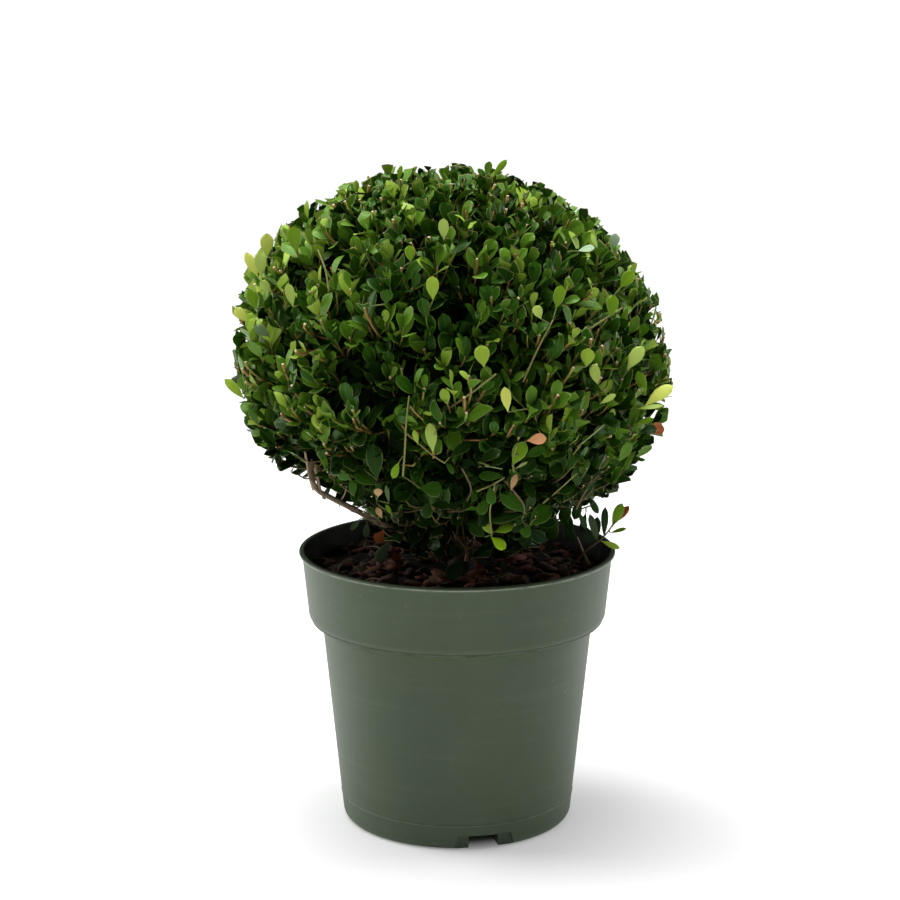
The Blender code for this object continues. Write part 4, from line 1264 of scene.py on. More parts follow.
# %% [markdown]
# ## Where the leaves sit
#
# Holly leaves sit in a spiral, each a golden angle on from the last. On a shoot they start at the tip and
# thin out further in, where the old ones have dropped. The young ones at the tip stand up along the shoot,
# and the older ones stand off from it. A leaf turns its upper side a little outward and up, to the light.

# %% Where the leaves sit
INTERNODE = (0.0030, 0.0040)
FIRST_SEAT, LEAFY = 0.0006, 0.040
GOLDEN_ANGLE = 2.39996
LEAF_LENGTH = (0.0100, 0.0180)
LEAF_WIDTH = (0.43, 0.60)


def leaf_seats():
    """Each leaf's shoot, its way back from the tip, its root, the shoot's heading there, and its turn."""
    seats = []
    for shoot in shoots:
        path = wood_paths[shoot][::-1]
        way, away = way_along(path), unit(-np.gradient(path, axis=0))
        step = growth.uniform(*INTERNODE)
        back = np.arange(FIRST_SEAT, min(LEAFY, way[-1] * 0.96), step)
        back = back[growth.uniform(size=len(back)) < 1.15 - 0.85 * back / LEAFY]
        turn = growth.uniform(0, math.tau) + back / step * GOLDEN_ANGLE
        seats.append((np.full(len(back), shoot), back, between(back, way, path),
                      between(back, way, away), turn))
    return [np.concatenate(column) for column in zip(*seats)]


seat_shoot, seat_back, seat_root, seat_heading, seat_turn = leaf_seats()
leaf_count = len(seat_shoot)
print(leaf_count, "leaf seats,", round(leaf_count / len(shoots), 1), "on a shoot")

# %% [markdown]
# ## The shape of a leaf
#
# A leaf is a small sheet: seven rows of points from its stalk to its tip. The outer strips are the rim,
# painted pale as a highlight, the narrow middle strip is the faint midrib, and the blade is folded a little
# along it. One function gives the place of any point of any leaf. That makes the shears easy: where a line
# of points first crosses the clipped surface, the leaf ends there, with a thin dry edge.

# %% The shape of a leaf
LINES = np.array([-1.0, -0.90, -0.06, 0.06, 0.90, 1.0])
STATIONS = np.array([0.0, 0.13, 0.32, 0.54, 0.76, 0.91, 1.0])
WIDTH_AT = np.array([0.0, 0.08, 0.18, 0.30, 0.43, 0.56, 0.67, 0.77, 0.86, 0.93, 1.0])
WIDTHS = np.array([0.07, 0.13, 0.34, 0.61, 0.84, 0.97, 1.00, 0.96, 0.86, 0.70, 0.36])
BLADE, RIM, CUT_EDGE, MIDRIB = 0, 1, 2, 3
CUT_EDGE_LENGTH = 0.0004
CORNER_ROUNDING = 0.055
YOUNG_SPREAD, OLD_SPREAD, SPREAD_STRAY = 22, 30, 10
FACE_STRAY = 0.26


class Leaves:
    """Leaves as arrays: root, three axes, length, half width, bend, fold and curl."""

    def __init__(self, root, ahead, face_up, length, width, bend, fold, curl):
        self.root, self.ahead, self.face_up = root, ahead, face_up
        self.across = np.cross(ahead, face_up)
        self.length, self.half = length, length * width / 2
        self.bend, self.fold, self.curl = bend, fold, curl

    def picked(self, rows):
        """Only the leaves of some rows."""
        some = copy.copy(self)
        for name, values in vars(self).items():
            setattr(some, name, values[rows])
        return some

    def middle(self, share):
        return self.root + self.ahead * (self.length * share)[:, None]

    def places(self, share):
        """Places at a share of the length on each line, from an array (leaves, samples, lines)."""
        reach = share * (1 - CORNER_ROUNDING * LINES ** 2)
        bend = self.bend[:, None, None]
        angle = bend * reach
        length = self.length[:, None, None]
        forward = np.sin(angle) / bend * length
        drop = (1 - np.cos(angle)) / bend * length
        half = np.interp(share, WIDTH_AT, WIDTHS) * self.half[:, None, None]
        lift = half * (self.fold[:, None, None] * np.abs(LINES) - self.curl[:, None, None] * LINES ** 4)
        forward = forward + lift * np.sin(angle)
        rise = lift * np.cos(angle) - drop
        axes = (self.ahead, self.face_up, self.across)
        amounts = (forward, rise, LINES * half)
        return self.root[:, None, None] + sum(amount[..., None] * axis[:, None, None]
                                              for amount, axis in zip(amounts, axes))


def squared(vectors, ahead):
    """The parts of vectors that are square to their headings, as unit vectors."""
    return unit(vectors - ahead * np.einsum("nd,nd->n", vectors, ahead)[:, None])


def seated_leaves():
    side = unit(np.cross(seat_heading, UP + 0.01))
    other = np.cross(seat_heading, side)
    spoke = side * np.cos(seat_turn)[:, None] + other * np.sin(seat_turn)[:, None]
    age = np.clip(seat_back / 0.020, 0, 1)
    spread = YOUNG_SPREAD + OLD_SPREAD * age + growth.normal(scale=SPREAD_STRAY, size=leaf_count)
    spread = np.radians(spread)[:, None]
    ahead = unit(seat_heading * np.cos(spread) + spoke * np.sin(spread) + UP * 0.22)
    light = unit(seat_root - CROWN_CENTRE) * 0.12 + UP * 0.35
    stray = growth.normal(scale=FACE_STRAY, size=(leaf_count, 3))
    face_up = squared(seat_heading * 0.8 - spoke * 0.6 + light + stray, ahead)
    length = growth.uniform(*LEAF_LENGTH, leaf_count) * (0.80 + 0.20 * np.clip(seat_back / 0.007, 0, 1))
    length *= 1 + 0.14 * np.clip((0.270 - seat_root[:, 2]) / 0.06, 0, 1)
    bend = growth.uniform(0.05, 0.75, leaf_count) * np.where(growth.uniform(size=leaf_count) < 0.2, -1, 1)
    return Leaves(seat_root, ahead, face_up, length, growth.uniform(*LEAF_WIDTH, leaf_count), bend,
                  growth.uniform(0.12, 0.50, leaf_count), growth.uniform(0.04, 0.24, leaf_count))


leaves = seated_leaves()
print(f"leaves of {leaves.length.min() * 1000:.0f} to {leaves.length.max() * 1000:.0f} mm")

# %% [markdown]
# ## The shears
#
# Every line of every leaf is sampled, and the first sample outside the clipped surface gives the cut.
# Leaves that keep less than a quarter are dropped, and so are leaves that would hang in the opening under
# the bare bough.

# %% The shears
SAMPLES = 15
PROUD_REACH, GROW_LIMIT = 0.0040, 0.0045
LEAST_KEPT, UNCUT = 0.25, 0.97
LOW_THIN = 0.48


def cut_shares(leaves, proud):
    """The share of its length that each line of each leaf keeps."""
    share = np.linspace(0, 1, SAMPLES)
    grid = np.broadcast_to(share[None, :, None], (len(leaves.root), SAMPLES, len(LINES)))
    places = leaves.places(grid)
    grow = np.minimum(shear_wave(places) - SHEAR_INSET + proud[:, None, None], GROW_LIMIT)
    out = ball(places, grow)
    crossed = out > 0
    first = np.argmax(crossed, axis=1)
    rows = np.arange(len(leaves.root))[:, None]
    columns = np.arange(len(LINES))[None]
    before = np.maximum(first - 1, 0)
    inside, outside = out[rows, before, columns], out[rows, first, columns]
    exact = share[before] + (share[first] - share[before]) * (-inside) / np.maximum(outside - inside, 1e-9)
    return np.where(crossed.any(axis=1), np.where(first == 0, 0.0, exact), 1.0)


keeps = cut_shares(leaves, np.where(wood_kinds[seat_shoot] == PROUD, PROUD_REACH, 0.0))
open_air = in_opening(leaves.middle(0.7))
thinned = growth.uniform(size=leaf_count) < LOW_THIN * np.clip((0.250 - leaves.root[:, 2]) / 0.04, 0, 1)
kept = (keeps.mean(axis=1) > LEAST_KEPT) & ~open_air & ~thinned
was_cut = keeps.min(axis=1) < UNCUT
print(kept.sum(), "leaves kept,", (kept & was_cut).sum(), "of them cut,", (~kept).sum(), "dropped")

# %% [markdown]
# ## Places read from the picture
#
# A few things are seen so well in the picture that they get a place of their own: the bare bough's fork,
# some pale or withered leaves, and what lies on the peat. Each is named by picture points, counted in
# pixels from the top left. The ray through such a point meets the ball or a plane, and that gives its
# place.

# %% Places read from the picture
PICTURE_SIZE = 900.0
FOCAL = camera_data.lens / camera_data.sensor_width * PICTURE_SIZE
EYE = np.array(camera.location)
TURN = np.array(camera.rotation_euler.to_matrix())


def sight(spot):
    """The direction of the ray through a picture point."""
    return unit(TURN @ np.array([spot[0] - PICTURE_SIZE / 2, PICTURE_SIZE / 2 - spot[1], -FOCAL]))


def on_plane(spot, axis, value):
    """Where the ray meets the plane on which one coordinate has a value."""
    way = sight(spot)
    return EYE + way * ((value - EYE[axis]) / way[axis])


def on_ball(spot, inset):
    """Where the ray meets the ball, moved on along it by inset. A ray that misses gives its nearest place."""
    way = sight(spot)
    far = (CROWN_CENTRE - EYE) @ way
    near = far - CROWN_RADIUS * 1.5
    while far - near > 1e-5:
        middle = (near + far) / 2
        if ball(EYE + way * middle) < 0:
            far = middle
        else:
            near = middle
    return EYE + way * (far + inset)


def picture_spots(places):
    """The picture points at which places are seen."""
    arm = (places - EYE) @ TURN
    scale = -FOCAL / arm[..., 2]
    return np.stack([PICTURE_SIZE / 2 + arm[..., 0] * scale, PICTURE_SIZE / 2 - arm[..., 1] * scale], -1)


WINDOW_COLUMNS, WINDOW_OVER, WINDOW_UNDER = (313, 368), 5, 27


def in_window(places):
    """Whether places are seen over the bare bough or in the open space right under it."""
    spots = picture_spots(places)
    line = picture_spots(BOUGHS[BARE_SIDE][::-1])
    row = np.interp(spots[:, 0], line[:, 0], line[:, 1])
    within = (spots[:, 0] > WINDOW_COLUMNS[0]) & (spots[:, 0] < WINDOW_COLUMNS[1])
    return within & (spots[:, 1] > row - WINDOW_OVER) & (spots[:, 1] < row + WINDOW_UNDER)


leaf_middles = leaves.middle(0.55)
kept &= ~in_window(leaf_middles)
print(in_window(leaf_middles).sum(), "leaves moved out of the bare bough's window")

# %% [markdown]
# ## Fine stems
#
# The bare bough forks where it enters the leaves, and a low stem with three arms rises beside the trunk.
# Some long shoots cross in front of the leaves. All are tubes through picture points, either at one
# distance from the camera or just under the ball's surface.

# %% Fine stems
STEMS = {
    "bark_stems": ((0.400, 0.290, 0.180), (
        ((314, 490), (310, 478), (308, 467), (305, 451), -0.0418, 0.0011, 0.0007),
        ((320, 492), (318, 480), (315, 467), (311, 449), -0.0412, 0.0011, 0.0007),
        ((340, 502), (345, 494), (347, 486), -0.0345, 0.0006, 0.0003),
        ((340, 501), (339, 508), -0.0345, 0.0005, 0.0002),
        ((591, 568), (584, 555), (580, 545), (577, 537), 0.0040, 0.0009, 0.0006),
    )),
    # painted light: the stems by the trunk's foot get a pale colour so that they show lit, though they stand
    # in shade
    "foot_stems": ((0.640, 0.430, 0.240), (
        ((466, 561), (467, 554), (467, 548), -0.0105, 0.0012, 0.0010),
        ((467, 549), (452, 531), (431, 506), -0.0105, 0.0008, 0.0006),
        ((467, 548), (468, 539), (467, 530), -0.0105, 0.0006, 0.0003),
        ((467, 549), (473, 547), (479, 542), -0.0105, 0.0006, 0.0004),
    )),
    "brown_stems": ((0.130, 0.088, 0.045), (
        ((566, 573), (577, 559), (589, 547), (604, 539), (611, 528), (615, 521), -0.0200, 0.0008, 0.0004),
        ((576, 509), (585, 491), (598, 475), None, 0.0006, 0.0004),
        ((462, 468), (473, 490), (467, 501), None, 0.0006, 0.0004),
        ((505, 481), (518, 496), (527, 508), (522, 519), None, 0.0006, 0.0004),
    )),
    "pale_shoots": ((0.300, 0.360, 0.150), (
        ((577, 447), (591, 436), (604, 425), None, 0.0005, 0.0004),
        ((485, 466), (493, 467), (502, 469), None, 0.0004, 0.0003),
    )),
    "front_shoots": ((0.210, 0.200, 0.060), (
        ((405, 432), (420, 444), (433, 456), (445, 463), None, 0.0006, 0.0005),
        ((403, 476), (404, 460), (406, 440), (405, 432), (409, 396), None, 0.0006, 0.0004),
        ((543, 503), (561, 488), (577, 473), None, 0.0005, 0.0004),
        ((448, 409), (473, 392), (496, 374), None, 0.0007, 0.0005),
        ((588, 330), (606, 318), (622, 308), None, 0.0006, 0.0005),
        ((523, 382), (536, 352), (553, 320), None, 0.0006, 0.0004),
        ((329, 292), (326, 270), (318, 250), None, 0.0006, 0.0004),
        ((477, 491), (490, 486), (504, 478), None, 0.0005, 0.0004),
        ((495, 484), (489, 512), (492, 535), None, 0.0005, 0.0004),
        ((514, 472), (512, 462), (517, 445), None, 0.0005, 0.0004),
    )),
}
STEM_POINTS, STEM_SIDES, STEM_INSETS = 14, 7, (0.012, 0.002)


def stem_row(row):
    """The line and the radii of one stem from its picture points, distance and thickness."""
    *spots, distance, first, last = row
    if distance is None:
        corners = [on_ball(spot, inset) for spot, inset in zip(spots, np.linspace(*STEM_INSETS, len(spots)))]
    else:
        corners = [on_plane(spot, 1, distance) for spot in spots]
    return softened(np.array(corners), STEM_POINTS), np.linspace(first, last, STEM_POINTS)


stem_lines = []
for name, (base, rows) in STEMS.items():
    lines, stem_radii = zip(*[stem_row(row) for row in rows])
    stem_lines += lines
    mesh = tube_mesh(name, np.array(lines), np.array(stem_radii), STEM_SIDES)
    hang(name, mesh, [plain(name, base, 0.65, 0.2)])

# %% [markdown]
# ## Leaves that stand out
#
# Each row names a leaf's kind, the picture points of its stalk and its tip, and its width as a share of its
# length. Upright leaves hang under the ball and have their place from front to back as well. Both these and
# the leaves on the ball are joined to the nearest wood by a stalk. Dropped leaves lean with their lower end
# on the peat. The common leaves that would hide the chosen ones make way.

# %% Leaves that stand out
KINDS = {
    "yellow": (0.620, 0.680, 0.130),
    "lime": (0.290, 0.430, 0.040),
    # partly painted light: the sprout's own lime is made brighter still, for it sits in shade under the crown
    "sprout": (0.300, 0.520, 0.010),
    "fresh": (0.150, 0.280, 0.010),
    "soft": (0.390, 0.520, 0.105),
    "mid": (0.026, 0.085, 0.005),
    "dim": (0.008, 0.030, 0.002),
    "pale": (0.380, 0.440, 0.150),
    "frost": (0.360, 0.500, 0.330),
    "sage": (0.075, 0.120, 0.050),
    "orange": (0.800, 0.380, 0.170),
    "rust": (0.330, 0.085, 0.018),
    "tan": (0.430, 0.260, 0.115),
    "grey": (0.060, 0.085, 0.045),
    "night": (0.010, 0.030, 0.011),
}
ON_BALL = (
    ("yellow", (267, 257), (267, 234), 0.58), ("yellow", (258, 277), (246, 253), 0.38),
    ("fresh", (296, 252), (293, 227), 0.60), ("soft", (262, 278), (259, 252), 0.44),
    ("soft", (293, 307), (288, 284), 0.40), ("soft", (271, 292), (261, 281), 0.60),
    ("yellow", (247, 322), (236, 308), 0.60), ("fresh", (256, 309), (250, 290), 0.62),
    ("sage", (270, 337), (255, 325), 0.60), ("lime", (244, 399), (226, 379), 0.40),
    ("fresh", (411, 262), (410, 246), 0.66), ("mid", (386, 304), (387, 290), 0.85),
    ("lime", (433, 300), (432, 277), 0.55), ("soft", (444, 240), (443, 219), 0.50),
    ("frost", (578, 251), (594, 246), 0.50), ("frost", (614, 248), (615, 234), 0.75),
    ("fresh", (610, 317), (614, 296), 0.55), ("fresh", (620, 288), (633, 271), 0.60),
    ("fresh", (556, 309), (561, 286), 0.50), ("soft", (541, 319), (536, 306), 0.80),
    ("soft", (627, 370), (641, 346), 0.50), ("yellow", (645, 406), (670, 383), 0.44),
    ("fresh", (646, 395), (638, 372), 0.42), ("lime", (586, 367), (588, 349), 0.76),
    ("soft", (598, 385), (593, 365), 0.50), ("soft", (600, 404), (615, 394), 0.34),
    ("yellow", (508, 412), (505, 388), 0.42), ("lime", (484, 367), (481, 346), 0.70),
    ("soft", (433, 452), (430, 424), 0.42), ("orange", (527, 441), (546, 438), 0.62),
    ("night", (640, 432), (656, 428), 0.75), ("rust", (647, 430), (664, 427), 0.86),
    ("tan", (378, 497), (378, 489), 0.95), ("tan", (382, 518), (377, 508), 0.50),
    ("fresh", (493, 176), (506, 160), 0.34), ("fresh", (398, 181), (401, 166), 0.32),
    ("soft", (637, 409), (662, 404), 0.30), ("fresh", (636, 424), (653, 418), 0.36),
    ("lime", (492, 535), (483, 521), 0.52), ("fresh", (494, 532), (512, 525), 0.50),
    ("sprout", (491, 537), (506, 548), 0.62), ("dim", (485, 537), (471, 524), 0.70),
    ("fresh", (513, 465), (523, 442), 0.58), ("dim", (519, 475), (534, 459), 0.70),
    ("mid", (524, 457), (544, 448), 0.46), ("pale", (515, 469), (527, 462), 0.20),
    ("mid", (504, 477), (479, 474), 0.42), ("tan", (511, 490), (516, 475), 0.38),
    ("mid", (490, 486), (492, 505), 0.52), ("mid", (489, 499), (478, 514), 0.60),
    ("mid", (526, 513), (501, 493), 0.46), ("dim", (526, 514), (490, 519), 0.30),
    ("mid", (529, 526), (550, 506), 0.64), ("dim", (538, 526), (555, 522), 0.60),
    ("mid", (530, 525), (523, 537), 0.76), ("night", (528, 530), (545, 541), 0.66),
    ("dim", (450, 457), (469, 442), 0.46), ("dim", (479, 462), (499, 449), 0.55),
    ("mid", (420, 488), (442, 490), 0.72), ("dim", (431, 505), (449, 504), 0.60),
    ("dim", (430, 502), (424, 518), 0.78), ("mid", (376, 485), (356, 472), 0.56),
    ("dim", (377, 480), (373, 445), 0.46), ("fresh", (399, 462), (392, 478), 0.52),
    ("mid", (354, 496), (352, 481), 0.50), ("sage", (389, 503), (386, 486), 0.24),
    ("fresh", (392, 514), (386, 505), 0.40), ("lime", (418, 444), (414, 431), 0.40),
    ("mid", (445, 462), (455, 473), 0.40), ("sage", (586, 490), (600, 472), 0.26),
)
UPRIGHT = (
    ("night", (604, 538), (605, 508), 0.24, -0.0200), ("fresh", (610, 533), (626, 528), 0.26, -0.0200),
    ("fresh", (612, 527), (622, 504), 0.40, -0.0200), ("rust", (615, 523), (628, 506), 0.36, -0.0190),
    ("lime", (601, 541), (620, 548), 0.30, -0.0250), ("grey", (598, 542), (590, 515), 0.26, -0.0200),
    ("night", (594, 544), (598, 518), 0.34, -0.0180), ("night", (590, 547), (586, 528), 0.36, -0.0190),
    ("grey", (367, 522), (366, 538), 0.40, -0.0120), ("grey", (361, 518), (350, 531), 0.30, -0.0120),
    ("dim", (571, 499), (560, 524), 0.46, -0.0300), ("dim", (581, 497), (574, 520), 0.40, -0.0250),
    ("night", (577, 510), (588, 530), 0.26, -0.0220), ("dim", (588, 496), (599, 513), 0.40, -0.0200),
    ("night", (563, 520), (573, 543), 0.44, -0.0150), ("dim", (556, 514), (549, 541), 0.48, -0.0300),
    ("night", (586, 512), (581, 533), 0.30, -0.0120), ("dim", (566, 508), (569, 532), 0.42, -0.0200),
)
ON_PEAT = (
    ("grey", (391, 541), (374, 564), 0.44), ("night", (463, 560), (447, 580), 0.62),
    ("rust", (384, 529), (375, 543), 0.70), ("tan", (433, 568), (446, 577), 0.40),
    ("rust", (391, 550), (400, 563), 0.50), ("rust", (478, 561), (480, 571), 0.50),
    ("grey", (500, 560), (506, 571), 0.50), ("tan", (541, 545), (548, 538), 0.40),
)


PEAT_TOP = 0.1565
ROOT_INSET, TIP_PROUD = 0.0030, 0.0015
HIDE_REACH, STEM_HIDE_REACH, HIDE_DEPTH = 10, 7, 0.002


def standing_out():
    """The leaves of the three lists and their kinds."""
    rows = []
    for kind, stalk, tip, width in ON_BALL:
        root = on_ball(stalk, ROOT_INSET)
        rows.append((kind, root, on_plane(tip, 1, root[1] - TIP_PROUD), width, -sight(tip) * 0.8 + UP * 0.4))
    leaning = [(*row, on_plane(max(row[1:3], key=lambda spot: spot[1]), 2, PEAT_TOP)[1]) for row in ON_PEAT]
    for kind, stalk, tip, width, distance in UPRIGHT + tuple(leaning):
        root, end = on_plane(stalk, 1, distance), on_plane(tip, 1, distance)
        rows.append((kind, root, end, width, -sight(tip) + UP * 0.3))
    kinds, roots, tips, widths, faces = (np.array(column) for column in zip(*rows))
    count, ahead = len(rows), unit(tips - roots)
    faces = squared(faces + growth.normal(scale=0.15, size=(count, 3)), ahead)
    length = np.linalg.norm(tips - roots, axis=1) * 1.02
    return kinds, Leaves(roots, ahead, faces, length, widths, growth.uniform(0.1, 0.5, count),
                         growth.uniform(0.10, 0.35, count), growth.uniform(0.05, 0.25, count))


def stalk_paths(roots):
    """Short curves from the nearest wood to the leaves' roots."""
    points = np.concatenate([wood_paths.reshape(-1, 3), *stem_lines, *BOUGHS.values()])
    start = points[[np.argmin(np.linalg.norm(points - root, axis=1)) for root in roots]]
    pull = (roots - start) * 0.3
    return cubic(start, start + pull + UP * 0.0006, roots - pull, roots, 5)


def hides(places, chosen, reach):
    """Whether places are seen close to chosen places and in front of them."""
    chosen_spots, spots = picture_spots(chosen), picture_spots(places)
    near = np.linalg.norm(spots[:, None] - chosen_spots[None], axis=2) < reach
    away, chosen_away = (np.linalg.norm(group - EYE, axis=1) for group in (places, chosen))
    front = away[:, None] < chosen_away[None] + HIDE_DEPTH
    return (near & front).any(axis=1)


chosen_kinds, chosen = standing_out()
kept &= ~hides(leaf_middles, chosen.middle(0.6), HIDE_REACH)
kept &= ~hides(leaf_middles, np.concatenate(stem_lines), STEM_HIDE_REACH)
print(len(chosen.root), "leaves stand out,", kept.sum(), "common leaves stay")

# %% [markdown]
# ## Tones
#
# No two sprays have the same green. Leaves deep inside and low on the ball are deep and bluish, partly as
# older leaves and partly as painted shade, and the tips are fresher. Sprays towards the two side lamps and
# on top are lighter, a painted light, and on the left they are nearly lime. Each leaf gets a score from its
# spray, its place on the shoot and its place on the ball, and the score picks one of a few plain tones.

# %% Tones
TONES = {
    "deep": ((0.0045, 0.0165, 0.0016), 0.36, 0.18),
    "dark": ((0.0098, 0.0375, 0.0024), 0.32, 0.30),
    "green": ((0.0220, 0.0780, 0.0046), 0.31, 0.55),
    "fresh": ((0.0800, 0.1780, 0.0110), 0.33, 0.62),
    "lime": ((0.2600, 0.3900, 0.0400), 0.36, 0.60),
}
TONE_EDGES = (0.26, 0.56, 0.80, 0.955)
LEAF_SHINE, LEAF_SHINE_TINT = 0.24, (0.56, 1.00, 0.36)
PALE = (0.240, 0.330, 0.060)
MIDRIB_SHARE = 0.20
PAINTED_LIGHT_LEFT, PAINTED_LIGHT_RIGHT = np.array([-0.80, -0.15, 0.45]), np.array([0.95, -0.15, 0.15])
PIECE_TRIANGLES = 190000
BROWN_KINDS = ("orange", "rust", "tan")
BROWN_RIM, BROWN_TINT, SINGLE_RIM = (0.75, 0.50, 0.30), (1.0, 0.8, 0.6), (0.50, 0.55, 0.22)
BRIGHT_GREEN, BRIGHT_RIM_SHARE, DIM_RIM_SHARE = 0.15, 0.36, 0.16
STALK_RADIUS, STALK_SIDES = 0.0004, 5


def leaf_scores():
    """How light a green each leaf has, from its spray, its place on the shoot and its place on the ball. The
    place on the ball adds painted light at the sides and on top, and darker tones low down and deep inside,
    partly for older leaves and partly as painted shade.
    """
    spray = growth.uniform(size=len(wood_paths))[seat_shoot]
    tip = 1 - np.clip(seat_back / 0.030, 0, 1)
    # painted shade, in part: deeper leaves score darker, partly as older leaves and partly as shade
    outer = np.clip((np.linalg.norm(seat_root - CROWN_CENTRE, axis=1) - 0.070) / 0.050, 0, 1)
    way = unit(seat_root - CROWN_CENTRE)
    # painted light: leaves on the sides facing the left and right lamps score lighter
    lit = np.clip(way @ unit(PAINTED_LIGHT_LEFT), 0, 1) ** 3 * 0.20 + np.clip(way @ unit(PAINTED_LIGHT_RIGHT), 0, 1) ** 4 * 0.12
    # painted light and shade: high leaves score lighter, and low ones darker, partly also as older leaves
    high = np.clip((seat_root[:, 2] - 0.24) / 0.14, 0, 1)
    low = np.clip((0.245 - seat_root[:, 2]) / 0.06, 0, 1)
    score = spray * 0.85 + tip * 0.60 + outer * 0.6 + lit + high * 0.25 - low * 0.80
    return score + growth.normal(scale=0.16, size=leaf_count)


scores = leaf_scores()
rank = np.argsort(np.argsort(scores)) / leaf_count
tone = np.digitize(rank, TONE_EDGES)
print("leaves by tone:", dict(zip(TONES, np.bincount(tone[kept]).tolist())))

# %% [markdown]
# ## Leaf meshes
#
# Nine thousand leaves as objects of their own would be slow to draw and to export. So all leaves of one
# tone are one mesh, with four finishes that are dealt out strip by strip: blade, rim, midrib and dry cut
# edge. The leaves that stand out are made in the same way, one mesh for each kind.

# %% Leaf meshes
def sheet_quads(count, rows, columns):
    """The quads of many small sheets that are each a grid of points."""
    index = np.arange(count * rows * columns).reshape(count, rows, columns)
    quads = np.stack([index[:, :-1, :-1], index[:, :-1, 1:], index[:, 1:, 1:], index[:, 1:, :-1]], -1)
    return quads.reshape(-1, 4)


def leaf_slots(cut):
    """Strips of rim, blade and midrib; the last span of a cut leaf is its dry edge."""
    strip = np.array([RIM, BLADE, MIDRIB, BLADE, RIM])
    slots = np.broadcast_to(strip, (len(cut), len(STATIONS) - 1, len(strip))).copy()
    slots[cut, -1] = CUT_EDGE
    return slots.ravel()


def hang_leaves(name, some, keeps, cut, finishes, stands_for=()):
    """Hang some leaves as one piece. Each line of a leaf ends at the share of its length that it keeps."""
    share = STATIONS[None, :, None] * keeps[:, None]
    last = share[:, -1]
    edge = last - (CUT_EDGE_LENGTH / some.length)[:, None]
    share[:, -2] = np.where(cut[:, None], np.maximum(edge, share[:, -3] + 0.01), share[:, -2])
    share[:, -1] = np.maximum(last, share[:, -2] + 0.005)
    places = some.places(share).reshape(-1, 3)
    mesh = mesh_from_arrays(name, places, [sheet_quads(len(cut), *share.shape[1:])], leaf_slots(cut))
    hang(name, mesh, finishes, stands_for)


dry_edge = plain("dry cut edge", (0.26, 0.24, 0.09), 0.6)


def leaf_finishes(name, base, roughness, rim_highlight_share, pale, tint):
    """The finishes of blade, rim, dry edge and midrib."""
    shares = (rim_highlight_share, rim_highlight_share * MIDRIB_SHARE)
    # painted highlight: the rim is mixed part way to a pale colour; the midrib, a fifth as far, is its own
    # paleness
    mixed = [[low + (high - low) * share for low, high in zip(base, pale)] for share in shares]
    blade = plain(name + " leaf", base, roughness, LEAF_SHINE, tint)
    rim = plain(name + " leaf rim", mixed[0], 0.40, LEAF_SHINE, tint)
    return [blade, rim, dry_edge, plain(name + " leaf midrib", mixed[1], 0.40, LEAF_SHINE, tint)]


leaf_triangles = 2 * (len(STATIONS) - 1) * (len(LINES) - 1)
for number, (name, (base, roughness, rim_highlight_share)) in enumerate(TONES.items()):
    rows = np.flatnonzero(kept & (tone == number))
    finishes = leaf_finishes(name, base, roughness, rim_highlight_share, PALE, LEAF_SHINE_TINT)
    pieces = 1 + len(rows) * leaf_triangles // PIECE_TRIANGLES
    for piece in range(pieces):
        some = rows[piece::pieces]
        first = name == "green" and piece == 0
        hang_leaves(f"leaves_{name}_{piece + 1}", leaves.picked(some), keeps[some], was_cut[some], finishes,
                    ["foliage_" + mass for mass in SPACES] if first else ())

for kind, base in KINDS.items():
    some = chosen.picked(chosen_kinds == kind)
    rim, tint = (BROWN_RIM, BROWN_TINT) if kind in BROWN_KINDS else (SINGLE_RIM, LEAF_SHINE_TINT)
    rim_highlight_share = BRIGHT_RIM_SHARE if base[1] > BRIGHT_GREEN else DIM_RIM_SHARE
    hang_leaves("single_leaves_" + kind, some, np.ones((len(some.root), len(LINES))),
                np.zeros(len(some.root), bool), leaf_finishes(kind, base, 0.38, rim_highlight_share, rim, tint))
stalked = stalk_paths(chosen.root[:len(ON_BALL) + len(UPRIGHT)])
hang("leaf_stalks", tube_mesh("leaf_stalks", stalked, np.full(stalked.shape[:2], STALK_RADIUS), STALK_SIDES),
     [plain("leaf stalk", (0.120, 0.150, 0.035), 0.5)])

# %% [markdown]
# ## Old leaves inside
#
# Inside the ball hang older leaves in deep shade. Seen through the gaps they only need to be dark and to
# shut out the sky, so they are the same leaves with fewer lines and stations, and their near-black green is
# a painted shade. They hang in two even layers round the ball's middle. Each sits on the piece of wood that
# passes nearest to its place, so none floats.

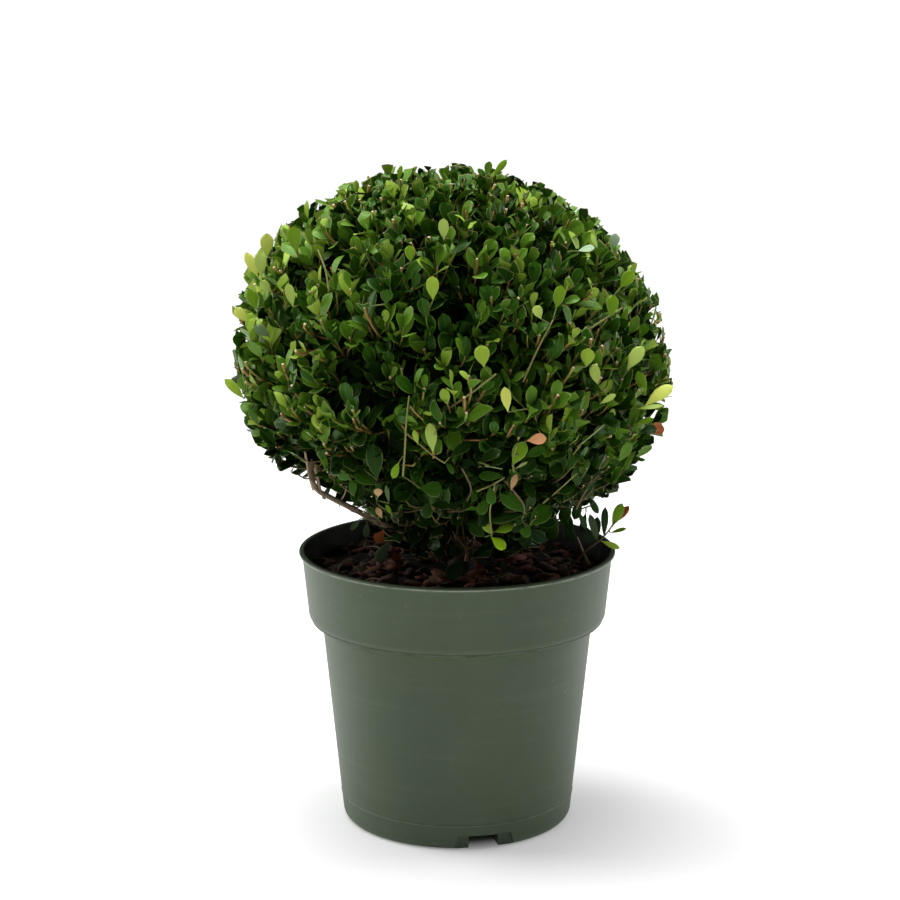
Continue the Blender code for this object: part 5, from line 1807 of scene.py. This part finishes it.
# %% Old leaves inside
INNER_LAYERS = ((0.030, 2600), (0.046, 1700))
INNER_SIZE, INNER_WIDTH = 0.0165, 0.66
INNER_LINES = np.array([-1.0, 0.0, 1.0])
INNER_STATIONS = np.array([0.0, 0.30, 0.65, 1.0])
INNER_FOLD, INNER_GROW = 0.12, -0.012


def inner_leaves():
    """Places of inner leaves: their roots on the wood, their headings and their upper sides."""
    spots, outs = [], []
    for inset, count in INNER_LAYERS:
        directions = even_directions(count)
        spots.append(crown_point(directions) - directions * inset)
        outs.append(directions)
    spots, outs = np.concatenate(spots), np.concatenate(outs)
    wood_points = wood_paths.reshape(-1, 3)
    nearest = np.concatenate([np.argmin(((part[:, None] - wood_points[None]) ** 2).sum(-1), axis=1)
                              for part in np.array_split(spots, 80)])
    root = wood_points[nearest]
    ahead = unit(spots - root + growth.normal(size=root.shape) * 0.004)
    return root, ahead, squared(outs * 0.9 + growth.normal(size=root.shape) * 0.4, ahead)


def inner_mesh(name, root, ahead, face_up):
    """One mesh of the simpler leaves, all of one size."""
    share, line = np.meshgrid(INNER_STATIONS, INNER_LINES, indexing="ij")
    half = np.interp(share, WIDTH_AT, WIDTHS) * line
    axes = (ahead, np.cross(ahead, face_up), face_up)
    amounts = (share * INNER_SIZE, half * INNER_SIZE * INNER_WIDTH / 2,
               np.abs(half) * INNER_SIZE * INNER_FOLD)
    places = root[:, None, None] + sum(amount[None, ..., None] * axis[:, None, None]
                                       for amount, axis in zip(amounts, axes))
    return mesh_from_arrays(name, places.reshape(-1, 3), [sheet_quads(len(root), *share.shape)])


inner_root, inner_ahead, inner_up = inner_leaves()
inner_tip = inner_root + inner_ahead * INNER_SIZE
inside = (ball(inner_tip, INNER_GROW) < 0) & ~in_opening(inner_tip) & ~in_opening(inner_root)
# painted shade: the inner leaves get a near-black green
hang("leaves_inner", inner_mesh("leaves_inner", inner_root[inside], inner_ahead[inside], inner_up[inside]),
     [plain("inner leaf in painted shade", (0.005, 0.017, 0.0020), 0.50, 0.08, LEAF_SHINE_TINT)])

# %% [markdown]
